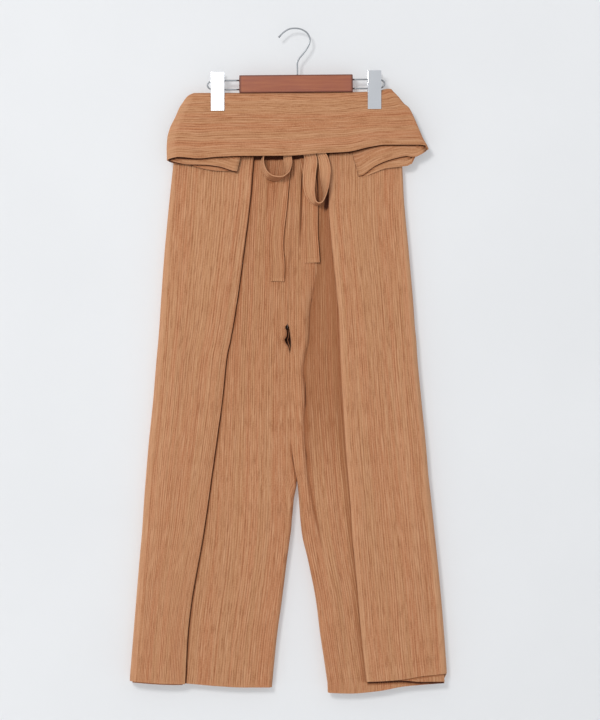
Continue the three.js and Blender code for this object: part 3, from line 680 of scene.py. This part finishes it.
hem_lines = []
for word, leg in (("left", LEFT), ("right", RIGHT)):
    for panel in ("front", "back"):
        mesh, lines = leg_panel(f"{panel} leg panel {word}", leg, panel)
        obj = piece(f"leg_{panel}_{word}", mesh, leg_cotton, "leg_cloth", f"{panel}_{word}")
        hem_lines += lines

# ---- Waistband --------------------------------------------------------------------------------
# The deep waistband is one tube of two panels, cut with the rib across. It rises from the seam,
# turns forward where the clips grip it, and hangs in front of the belt. Its side pleats are folded
# in behind it, and their corners come out below its edge as two small flaps.
R_PLEAT, R_UNDER, R_FRONT, R_BACK = 1.75 * MM, 3.5 * MM, 5.25 * MM, 7 * MM
CAD_HALF = 0.7 * MM
NEST = 2.25 * MM
SPLAY, SPLAY_FROM, SPLAY_OVER = 0.55, -125 * MM, 80 * MM
BAND_FOOT = -171.6 * MM
LEVEL, LEVEL_ROW = -100 * MM, 60
BAND_SEED = 300

# The top of the fold, the sides and inner pleats of the band where it rises and where it falls,
# and the lower edges: back panel, front panel, and the same two panels in the pleats.
fold_top = table("x z", [
    (-175, -104.6), (-158, -101.9), (-97, -101.9), (-90, -102.1), (90, -100.5), (113, -99.4),
    (128, -98), (137, -95.2), (141, -94.9), (146, -97.3), (162, -100)])
rising = table("z left right left_pleat right_pleat", [
    (-172, -192, 167, -63, 53), (-145, -184, 160, -66, 56), (-120, -172, 152, -70, 60),
    (-100, -160, 146, -74, 64)])
falling = table("z left right left_pleat right_pleat", [
    (-100, -162, 156, -74, 64), (-109, -175, 164.6, -75, 66), (-120, -183, 173.5, -76, 68),
    (-126, -187, 181, -76.5, 69), (-140, -193, 188.5, -78, 72), (-160, -202.6, 197.2, -80, 77),
    (-175, -206.4, 203.6, -83, 82), (-194, -207.4, 212.3, -86.5, 88.5),
    (-210, -207, 212.3, -89.5, 93), (-238, -206, 212.3, -96, 100.6)])
back_edge = table("x z", [
    (-207, -210.5), (-202.6, -208.8), (-188.8, -205.6), (-156, -208), (-127, -205.6),
    (-88, -204), (-9.6, -203.5), (36, -199.7), (82, -197.3), (120.5, -189), (143.5, -185.9),
    (205, -186), (212.3, -193.5)])
front_edge = table("x z", [(-207, -200), (-110, -192), (-60, -184), (60, -182), (205, -180)])
under_edge = table("x z", [
    (-206, -211), (-200.6, -211.8), (-173.4, -217.3), (-150, -217.6), (-123, -220.5),
    (-96, -228.3), (100.6, -235.7), (128, -218.7), (156, -208), (180, -203.5), (188, -205.6),
    (212.8, -193.6)])
pleat_edge = table("x z", [
    (-207, -211), (-195, -215.7), (-171.5, -218), (-154, -222.4), (-127, -227.2),
    (-103.7, -227.7), (-95, -230.6), (100.6, -236.3), (103.7, -237.9), (123.5, -231),
    (143.5, -223.4), (171, -220.3), (185.5, -217.6), (188, -204), (200, -198), (212.3, -193.6)])
BAND_CREASES = [
    (-180, -125, -120, -150, 5, 0.9), (-150, -190, 20, -180, 6, -0.8),
    (-60, -140, 120, -128, 7, 0.8), (30, -165, 190, -150, 6, -0.9),
    (120, -150, 205, -178, 5, 1.0), (90, -185, 200, -168, 5, 0.8),
    (-110, -112, -40, -125, 5, -0.7), (150, -108, 180, -150, 5, -0.8)]
BEHIND_CREASES = [
    (-170, -130, -40, -140, 6, 0.8), (20, -150, 150, -135, 7, -0.8),
    (-120, -160, 60, -155, 6, -0.7)]

band_cotton = crinkled_cotton("crinkled cotton round the band")


def band_panel(name, panel):
    """One panel of the band as a grid: rows up the back, over the fold and down the front, and
    columns from the right pleat's edge round to the left one's."""
    is_front = panel == "front"
    inner, outer = (R_UNDER, R_FRONT) if is_front else (R_PLEAT, R_BACK)
    inset = (NEST if is_front else 0) + CAD_HALF
    high, middle = (outer - inner) / 2, (outer + inner) / 2
    seam = GAP if is_front else 0
    pleat = np.linspace(0, 1, 16)
    turn = np.linspace(0, 1, 11)
    parts = [("right", pleat[::-1]), ("right turn", turn), ("across", np.linspace(0.02, 0.98, 62)),
             ("left turn", turn), ("left", pleat)]
    part, at = laid_out(parts)
    kinds = [part == word for word, _ in parts]
    hidden = np.isin(part, ["right", "left"])

    def section(edges, z):
        right = edges.right(z) - inset - high
        left = edges.left(z) + inset + high
        x = np.select(kinds, [
            lerp(right, edges.right_pleat(z) + seam, at), right + high * np.sin(at * np.pi),
            lerp(right, left, at), left - high * np.sin(at * np.pi),
            lerp(left, edges.left_pleat(z) - seam, at)])
        r = np.select(kinds, [
            inner + 0 * at, middle - high * np.cos(at * np.pi), outer + 0 * at,
            middle + high * np.cos(at * np.pi), inner + 0 * at])
        return x, np.broadcast_to(r, x.shape)

    level_x, level_r = section(rising, np.full((1, len(at)), LEVEL))
    fold = fold_top.z(level_x) - R_BACK - CAD_HALF
    turned = np.select(kinds, [1 + 0 * at, 1 - at, 0 * at, at, 1 + 0 * at])
    end = np.full((1, len(at)), -200 * MM)
    for _ in range(4):
        end_x, _ = section(falling, end)
        near = (front_edge if is_front else back_edge).z(end_x)
        far = (under_edge if is_front else pleat_edge).z(end_x)
        end = lerp(near, far, turned)

    up = np.linspace(0, 1, 42)[:-1, None]
    z_up = lerp(BAND_FOOT, fold, up)
    x_up, r_up = section(rising, lerp(BAND_FOOT, LEVEL, up))
    over = np.linspace(0, np.pi, 19)[:, None]
    z_over = fold + level_r * np.sin(over)
    x_over = lerp(level_x, section(falling, z_over)[0], ease(0, 2.2, over))
    down = np.concatenate([np.linspace(0, 0.9, 88)[1:], np.linspace(0.91, 1, 14)])[:, None]
    z_down = lerp(fold, end, down)
    x_front, r_front = section(falling, z_down)
    splay = 1 + SPLAY * np.clip((SPLAY_FROM - z_down) / SPLAY_OVER, 0, 1) ** 2

    x = np.concatenate([x_up, x_over, x_front])
    y = np.concatenate([r_up, level_r * np.cos(over), -r_front * splay])
    z = np.concatenate([z_up, z_over, z_down])
    in_front = (np.arange(len(x)) >= len(z_up) + len(over))[:, None]
    wave = 1.3 * MM * drift(x / (70 * MM), z / (45 * MM), BAND_SEED)
    soft = ease_mm(-116, -150, z)
    y = y + np.where(in_front, -wave - creases(x, z, BAND_CREASES),
                     0.4 * wave + creases(x, z, BEHIND_CREASES) * (r_up[0] > middle)) * soft

    leg_y = depth.front(z) - 2 * LAYER - depth.puff(z) * 0.5 - (1.4 if is_front else 0.6) * MM
    y = np.where(in_front & (part == "right"), lerp(y, np.maximum(y, leg_y), ease(0.55, 1, at)), y)

    grid = np.stack([x, y, z], axis=2)
    across = run_along(grid[:, len(at) // 2])[:, None]
    along = run_along(grid[LEVEL_ROW])[None, :]
    relief = ribs(across, along, BAND_SEED + (7 if is_front else 0), swing=4.5)
    near_side = np.minimum(falling.right(z) - x, x - falling.left(z))
    # A strip down the band's left side, where the ribs are calmer and the cloth gets a painted
    # highlight.
    strip = ease_mm(15, 10, x - falling.left(z)) * in_front * ~hidden
    calm = np.where(hidden, 0.35, ease_mm(0, 6, near_side) * 0.8 + 0.2) * (1 - 0.8 * strip)
    relief = relief * calm * np.clip((z - end) / (5 * MM), 0.3, 1) ** in_front
    half = SKIN / 2 + 0.15 * MM * in_front * (z < end + 3 * MM)
    # Painted shade on the hidden pleats just below the edge of the layer over them.
    cover = (back_edge if is_front else under_edge).z(x)
    deep = 3 * MM + 2.5 * MM * ease_mm(-150, -195, x) * is_front
    under = ease(cover - deep, cover - deep / 3, z) * hidden * in_front
    painted_shade = 0.12 + BAND_SHADE_BEHIND * under - 0.4 * strip
    return shell(name, grid, half, relief, across, along, painted_shade)[0]


for panel in ("front", "back"):
    mesh = band_panel(f"{panel} band panel", panel)
    obj = piece(f"waistband_{panel}_cloth", mesh, band_cotton, "band_cloth", f"waistband_{panel}")

# ---- Belt and ties ----------------------------------------------------------------------------
# A flat self-fabric belt, 22 mm wide, goes round the waist behind the folded band. It is tied in
# a bow whose knot is hidden there: two loops and two tails hang out below.
TIE_HALF, BELT_HALF = 0.6 * MM, 0.45 * MM
TAIL_STEPS, LOOP_STEPS, TIE_COLUMNS = 190, 150, 38
TAIL_CLEAR = 1.5
BELT_TOP, BELT_WIDTH = -144 * MM, 22 * MM
KNOT = SimpleNamespace(x=-2 * MM, z=-168 * MM, wide=13 * MM, deep=3.6 * MM, high=18 * MM)

tie_cotton = crinkled_cotton("crinkled cotton along the ties", 0.8)


def belt_mesh():
    back = R_BACK + CAD_HALF + GAP + TIE_HALF
    out, clear = back / 2, 2 * GAP + TIE_HALF
    z = np.linspace(BELT_TOP, BELT_TOP - BELT_WIDTH, 24)[:, None]
    right, left = rising.right(z) + clear - out, rising.left(z) - clear + out
    turn = np.linspace(0, np.pi, 10)
    ends = KNOT.wide + GAP
    x = np.concatenate([
        lerp(KNOT.x + ends, right, np.linspace(0, 1, 16)[:-1]), right + out * np.sin(turn),
        lerp(right, left, np.linspace(0, 1, 36)[1:-1]), left - out * np.sin(turn),
        lerp(left, KNOT.x - ends, np.linspace(0, 1, 18)[1:])], axis=1)
    y = np.concatenate([np.zeros(15), out - out * np.cos(turn), np.full(34, back),
                        out + out * np.cos(turn), np.zeros(17)])[None, :]
    grid = np.stack([x, np.broadcast_to(y, x.shape), np.broadcast_to(z, x.shape)], axis=2)
    along = run_along(grid[0])[None, :]
    return shell("belt", grid, BELT_HALF, 0.5 * ribs(z, along, 400), z, along)[0]


def smooth_route(rows, steps):
    """Rows of numbers in millimetres and degrees, drawn out smoothly to so many steps."""
    rows = np.array(rows, float)
    padded = np.concatenate([[2 * rows[0] - rows[1]], rows, [2 * rows[-1] - rows[-2]]])
    at = np.linspace(0, len(rows) - 1, steps)
    k = np.minimum(at.astype(int), len(rows) - 2)
    t = (at - k)[:, None]
    a, b, c, d = (padded[k + n] for n in range(4))
    return 0.5 * (2 * b + (c - a) * t + (2 * a - 5 * b + 4 * c - d) * t ** 2
                  + (3 * b - a - 3 * c + d) * t ** 3)


def tie(name, rows, seed, steps, end_fold=0, shaded=False):
    """A flat tie along a route of rows x, y, z, turn and half width. turn is the angle of its
    width, from across (0) to straight out of the front (90)."""
    route = smooth_route(rows, steps)
    point, half = route[:, :3] * MM, route[:, 4:5] * MM
    turn = np.radians(route[:, 3])
    along = np.gradient(point, axis=0)
    step = np.linalg.norm(along, axis=1, keepdims=True)
    along /= step
    across = np.stack([np.cos(turn), -np.sin(turn), 0.8 * np.cos(turn)], axis=1)
    across -= along * np.sum(across * along, axis=1, keepdims=True)
    across /= np.linalg.norm(across, axis=1, keepdims=True)
    face = np.cross(along, across)
    share = np.linspace(1, -1, TIE_COLUMNS)
    run = np.concatenate([[0], np.cumsum(step[1:, 0])])[:, None]
    cup = 0.5 * MM * drift(run / (30 * MM), np.full_like(run, 3.0), seed) * (share ** 2)
    grid = (point[:, None] + across[:, None] * (half * share)[..., None]
            + face[:, None] * cup[..., None])
    side = half * (1 - np.abs(share))
    u = half * share
    welt = 0.22 * MM * streak(side, 0.8, 1.3)
    relief = 0.7 * ribs(u, run, seed, swing=2) * ease_mm(0, 2.5, side) + welt
    # Tails are a little darker and loops get a painted highlight, with a painted shade line a
    # little inside each edge. Where a loop faces down it gets painted shade, all but a lit rim
    # along its front edge.
    painted_shade = (0.2 if shaded else -0.2) + 0.8 * streak(side, 0.5, 2.6)
    rim = ease_mm(4, 1.5, half * (1 - share))
    painted_shade = painted_shade + 0.9 * ease(0.45, 0.9, np.abs(face[:, 2:3])) * (1 - rim)
    if end_fold:
        from_end = run[-1] - run
        relief = relief + 0.08 * MM * (from_end < end_fold * MM)
        # A painted shade line along the folded end.
        painted_shade = painted_shade + 0.12 * streak(from_end, 0.8, end_fold)
    if shaded:
        shade = band_shade.z(grid[..., 0])
        painted_shade = painted_shade + BAND_SHADE * ease(shade, shade + 1.4 * MM, grid[..., 2])
    mesh, outer = shell(name, grid, TIE_HALF, relief, u, run, painted_shade)
    return mesh, run[-1, 0], outer


def on_front(leg):
    """The rows of a leg's tail, laid just clear of the front panel's own surface."""
    laid = []
    for x, z, half in leg.tail:
        under = front_surface(leg, (x + half * np.linspace(-1, 1, 9)) * MM, np.array([z * MM]))
        laid.append((x, min(under) / MM - TAIL_CLEAR, z, 0, half))
    return laid


# The knot is a rounded square, with a groove above and below where one turn crosses another.
knot_mesh = bpy.data.meshes.new("bow knot")
builder = bmesh.new()
bmesh.ops.create_uvsphere(builder, u_segments=72, v_segments=48, radius=1)
for vertex in builder.verts:
    x, y, z = vertex.co
    wrap = 1
    for lean, at in ((0.35, 0.42), (-0.3, -0.38)):
        wrap -= 0.09 * math.exp(-((z - lean * x - at) / 0.07) ** 2)
    wrap += 0.02 * math.sin(34 * z + 3 * x)
    square = 1 + 0.12 * abs(x * z)
    vertex.co = (KNOT.x + KNOT.wide * x * wrap * square * 0.97, KNOT.deep * y * wrap,
                 KNOT.z + KNOT.high * z * wrap * square * 0.95)
builder.to_mesh(knot_mesh)
builder.free()
knot_mesh.shade_smooth()
spots = np.array([knot_mesh.vertices[loop.vertex_index].co[:] for loop in knot_mesh.loops])
knot_mesh.uv_layers.new(name="cloth").data.foreach_set("uv", spots[:, (2, 0)].ravel())
knot_mesh.attributes.new("crest_and_shade", "FLOAT", "POINT")

belt = piece("belt_cloth", belt_mesh(), tie_cotton, "tie_cloth", "belt")
knot = piece("bow_knot_cloth", knot_mesh, tie_cotton, "tie_cloth", "bow_knot")

tie_ends = []
for name, leg, fold_at in (("tail_left", LEFT, 6), ("tail_right", RIGHT, 8)):
    mesh, length, outer = tie(name, on_front(leg), 410 + fold_at, TAIL_STEPS, fold_at, shaded=True)
    obj = piece(name + "_cloth", mesh, tie_cotton, "tie_cloth", name)
    tie_ends.append(outer[-1 - round(fold_at * MM / length * len(outer)), 4:-4])

for name, rows in (
        ("loop_left", [
            (-10, -1.6, -187.5, 65, 3.2), (-28, -2.4, -189, 70, 4), (-46, -3.0, -196, 74, 4.2),
            (-53.5, -4.4, -210, 64, 4.8), (-50.5, -7.5, -227, 66, 7), (-41, -8.4, -237.5, 68, 8.6),
            (-25, -8.4, -239.5, 66, 8.6), (-15, -7, -231, 56, 8.6), (-12.6, -5, -217, 38, 8.2),
            (-13.6, -3.8, -203, 12, 6.8), (-12, -3.2, -191, 5, 5)]),
        ("loop_right", [
            (8, -2, -188.5, 10, 5), (20, -2.6, -199, 5, 9), (23.8, -2.8, -211, 3, 10.4),
            (22.2, -3, -226, 2, 10.5), (21, -3.4, -242, 4, 10.4), (21.6, -5, -257, 26, 10),
            (24.6, -7.4, -269, 50, 9.6), (29.5, -9.4, -278, 72, 9.4), (35.5, -10, -281, 78, 9.2),
            (41.5, -9.8, -278, 79, 9.2), (46, -9.2, -268, 76, 9.4), (47, -8.2, -256, 62, 9.8),
            (46.6, -7, -240, 40, 10), (46.4, -5.6, -222, 18, 9.6), (41.5, -4.2, -203, 15, 7.5),
            (29, -3.2, -193, 60, 3.5)])):
    mesh, length, _ = tie(name, rows, 430, LOOP_STEPS)
    obj = piece(name + "_cloth", mesh, tie_cotton, "tie_cloth", name)

# ---- Stitches ---------------------------------------------------------------------------------
# One row of machine stitches holds each hem, and one the folded end of each tail. The thread is
# the cloth's own colour, and it hardly shows.
STITCHES = {"Pitch": 3.4 * MM, "Length": 2.3 * MM, "Thickness": 0.42 * MM}


def stitch_nodes():
    """Small capsules at an even pitch along a path of edges."""
    tree = bpy.data.node_groups.new("stitches", "GeometryNodeTree")
    tree.interface.new_socket("Path", in_out="INPUT", socket_type="NodeSocketGeometry")
    for name in STITCHES:
        tree.interface.new_socket(name, in_out="INPUT", socket_type="NodeSocketFloat")
    tree.interface.new_socket("Thread", in_out="INPUT", socket_type="NodeSocketMaterial")
    tree.interface.new_socket("Stitches", in_out="OUTPUT", socket_type="NodeSocketGeometry")
    add = tree.nodes.new
    given, result = add("NodeGroupInput"), add("NodeGroupOutput")
    curve, even = add("GeometryNodeMeshToCurve"), add("GeometryNodeResampleCurve")
    even.mode = "LENGTH"
    tangent, turn = add("GeometryNodeInputTangent"), add("FunctionNodeAlignRotationToVector")
    turn.axis = "X"
    bead = add("GeometryNodeMeshUVSphere")
    for name, value in (("Segments", 6), ("Rings", 4), ("Radius", 0.5)):
        bead.inputs[name].default_value = value
    size, place = add("ShaderNodeCombineXYZ"), add("GeometryNodeInstanceOnPoints")
    real, paint = add("GeometryNodeRealizeInstances"), add("GeometryNodeSetMaterial")
    for source, given_as, target, taken_as in (
            (given, "Path", curve, "Mesh"), (curve, "Curve", even, "Curve"),
            (given, "Pitch", even, "Length"), (even, "Curve", place, "Points"),
            (tangent, "Tangent", turn, "Vector"), (turn, "Rotation", place, "Rotation"),
            (bead, "Mesh", place, "Instance"), (given, "Length", size, "X"),
            (given, "Thickness", size, "Y"), (given, "Thickness", size, "Z"),
            (size, "Vector", place, "Scale"), (place, "Instances", real, "Geometry"),
            (real, "Geometry", paint, "Geometry"), (given, "Thread", paint, "Material"),
            (paint, "Geometry", result, "Stitches")):
        tree.links.new(source.outputs[given_as], target.inputs[taken_as])
    return tree


def stitches(name, lines, thread, slot, tree):
    """A piece of stitches along rows of points."""
    mesh = bpy.data.meshes.new(name)
    ends = np.cumsum([len(line) for line in lines])
    edges = [(k, k + 1) for k in range(ends[-1] - 1) if k + 1 not in ends]
    mesh.from_pydata(np.concatenate(lines).tolist(), edges, [])
    path = bpy.data.objects.new(name, mesh)
    bpy.context.scene.collection.objects.link(path)
    sewing = path.modifiers.new("stitches", "NODES")
    sewing.node_group = tree
    values = {**STITCHES, "Thread": thread}
    for item in tree.interface.items_tree:
        if item.name in values:
            sewing[item.identifier] = values[item.name]
    path.update_tag()
    sewn = path.evaluated_get(bpy.context.evaluated_depsgraph_get())
    result = bpy.data.meshes.new_from_object(sewn)
    bpy.data.objects.remove(path)
    piece(name, result, thread, slot)


thread, _, _ = new_material("thread", Base_Color=(0.46, 0.21, 0.1, 1), Roughness=0.8)
tree = stitch_nodes()
stitches("hem_stitches", hem_lines, thread, "leg_cloth", tree)
stitches("tail_stitches", tie_ends, thread, "tie_cloth", tree)

# ---- Hanger -----------------------------------------------------------------------------------
# A chrome wire hook over a stained wooden bar. A long wire loop leaves each end of the bar, and
# a flat sprung clip slides on each. The bar's face is left bare.
BAR = SimpleNamespace(long=182 * MM, high=28.4 * MM, deep=12 * MM, z=-87.8 * MM, tilt=0.5)
WIRE_RADIUS, HOOK_RADIUS = 1.25 * MM, 1.2 * MM
CLIP = SimpleNamespace(
    wide=21.7 * MM, high=62 * MM, wall=1.4 * MM, block=15 * MM, block_high=10 * MM)
SLOPE = math.tan(math.radians(BAR.tilt))

MAHOGANY, PALE_GRAIN = (0.30, 0.085, 0.04, 1), (0.36, 0.116, 0.052, 1)
WINE_PATCH, DARK_RIM = (0.25, 0.072, 0.052, 1), (0.10, 0.03, 0.022, 1)

chrome, shader, link = new_material("chrome", Base_Color=(0.86, 0.885, 0.91, 1), Metallic=1)
haze = link.node("TexNoise", Vector=link.node("TexCoord", out="Object"), Scale=60.0)
(haze * 0.06 + 0.09).feed(shader, "Roughness")

steel, _, _ = new_material(
    "wire steel", Base_Color=(0.30, 0.315, 0.33, 1), Metallic=1, Roughness=0.42)

stain, shader, link = new_material(
    "stained wood", Specular_IOR_Level=0.3, Coat_Weight=0.06, Coat_Roughness=0.2)
place = link.node("UVMap", {"uv_map": "cloth"})
long_grain = link.node("Mapping", Vector=place, Scale=(14, 260, 1))
grain = link.node("TexNoise", Vector=long_grain, Scale=1.0, Detail=6.0, Roughness=0.6)
patch = link.node("TexNoise", Vector=place, Scale=16.0, Detail=2.0)
colour = link.blend(grain.band(0.35, 0.68), MAHOGANY, PALE_GRAIN)
colour = link.blend(patch.band(0.4, 0.7) * 0.35, colour, WINE_PATCH)
across = link.node("SeparateXYZ", Vector=place)
up = Link(link.tree, across.socket.node.outputs["Y"])
# The bar is darker within a few millimetres of each edge.
rim = (link.math("ABSOLUTE", across, 0).band(BAR.long / 2 - 4.5 * MM, BAR.long / 2 - 1 * MM)
       + link.math("ABSOLUTE", up, 0).band(BAR.high / 2 - 3.2 * MM, BAR.high / 2 - 0.6 * MM))
link.blend(link.math("MINIMUM", rim, 1) * 0.75, colour, DARK_RIM).feed(shader, "Base Color")
(grain * 0.2 + 0.32).feed(shader, "Roughness")


def slab(name, size, centre, ease_by, lean=0.0):
    """A block with rounded edges, leaning up to its right. UVs are its own width and height."""
    builder = bmesh.new()
    bmesh.ops.create_cube(builder, size=1)
    for vertex in builder.verts:
        vertex.co = [vertex.co[k] * size[k] for k in range(3)]
    bmesh.ops.bevel(builder, geom=builder.edges[:], offset=ease_by, segments=4, profile=0.5,
                    affect="EDGES")
    uv = builder.loops.layers.uv.new("cloth")
    for face in builder.faces:
        face.smooth = max(abs(side) for side in face.normal) < 0.999
        for loop in face.loops:
            loop[uv].uv = (loop.vert.co.x, loop.vert.co.z)
    for vertex in builder.verts:
        x, y, z = vertex.co
        vertex.co = (centre[0] + x - z * lean, centre[1] + y, centre[2] + z + x * lean)
    mesh = bpy.data.meshes.new(name)
    builder.to_mesh(mesh)
    builder.free()
    return mesh


def wire(name, route, radius, sides=14):
    """A round wire along points in metres, closed at both ends. radius may vary along it."""
    route = np.array(route)
    along = np.gradient(route, axis=0)
    along /= np.linalg.norm(along, axis=1, keepdims=True)
    out = np.array([0.0, 1.0, 0.0])
    side = np.cross(along, out)
    angle = np.linspace(0, 2 * np.pi, sides, endpoint=False)
    ring = side[:, None] * np.cos(angle)[:, None] + out * np.sin(angle)[:, None]
    points = route[:, None] + ring * np.broadcast_to(radius, len(route))[:, None, None]
    last = (len(route) - 1) * sides
    faces = [(k + j, k + sides + j, k + sides + (j + 1) % sides, k + (j + 1) % sides)
             for k in range(0, last, sides) for j in range(sides)]
    faces += [tuple(range(sides)), tuple(last + j for j in reversed(range(sides)))]
    mesh = bpy.data.meshes.new(name)
    mesh.from_pydata(points.reshape(-1, 3).tolist(), [], faces)
    mesh.shade_smooth()
    return mesh


def on_hanger(x, z):
    """A point of the leaning hanger, from its place along and above the bar's middle."""
    return (x - z * SLOPE, 0.0, BAR.z + z + x * SLOPE)


bar = slab("hanger bar", (BAR.long, BAR.deep, BAR.high), (0, 0, BAR.z), 1.5 * MM, SLOPE)
piece("hanger_bar_wood", bar, stain, "bar_wood", "hanger_bar")

hook_rows = [
    (-27.7, -13.1), (-20.3, -5.3), (-10.7, 0.4), (0, 1.5), (9.6, -0.6), (17.9, -6.1),
    (21.8, -13.6), (21.8, -21.8), (17.9, -30.4), (11.8, -39), (5.2, -46.9), (2.2, -54),
    (2.2, -64), (2.2, -73.3)]
HOOK_STEPS = 150
hook_route = smooth_route([(x, 0, z) for x, z in hook_rows], HOOK_STEPS) * MM
flare = 1 + 0.35 * ease(0.035, 0.0, np.linspace(0, 1, HOOK_STEPS))
piece("hook_wire", wire("hook", hook_route, HOOK_RADIUS * flare), steel, "chrome", "hanger_hook")

# The wire loops: their upper and lower run, where the bend starts and how far out it comes.
UPPER, LOWER, STRAIGHT, REACH = 6.4 * MM, -8.2 * MM, 131 * MM, 142 * MM
WIRE_MIDDLE = (UPPER + LOWER) / 2
bend = np.linspace(np.pi / 2, -np.pi / 2, 31)
loop_x = np.concatenate([np.linspace(BAR.long / 2, STRAIGHT, 8)[:-1],
                         STRAIGHT + (REACH - STRAIGHT) * np.cos(bend),
                         np.linspace(STRAIGHT, BAR.long / 2, 8)[1:]])
loop_z = np.concatenate([np.full(7, UPPER), WIRE_MIDDLE + (UPPER - LOWER) / 2 * np.sin(bend),
                         np.full(7, LOWER)])
for word, side in (("left", -1), ("right", 1)):
    route = [on_hanger(side * x, z) for x, z in zip(loop_x, loop_z)]
    mesh = wire("wire " + word, route, WIRE_RADIUS)
    piece(f"wire_loop_{word}", mesh, steel, "chrome", f"wire_{word}")

JAW_Y = R_BACK + CAD_HALF + GAP + CLIP.wall / 2
for word, x, top in (("left", -125.4 * MM, -69.6 * MM), ("right", 125.6 * MM, -66.9 * MM)):
    z = top - CLIP.high / 2
    for face, y in (("front", -JAW_Y), ("back", JAW_Y)):
        jaw = slab(f"clip {word} {face}", (CLIP.wide, CLIP.wall, CLIP.high), (x, y, z), 0.5 * MM)
        piece(f"jaw_{word}_{face}", jaw, chrome, "chrome", f"clip_{word}_{face}")
    middle = BAR.z + WIRE_MIDDLE + x * SLOPE
    thick = 2 * (JAW_Y - CLIP.wall / 2 - GAP)
    block = slab(
        f"clip {word} block", (CLIP.block, thick, CLIP.block_high), (x, 0, middle), 0.8 * MM)
    piece(f"block_{word}", block, chrome, "chrome", f"clip_{word}_block")
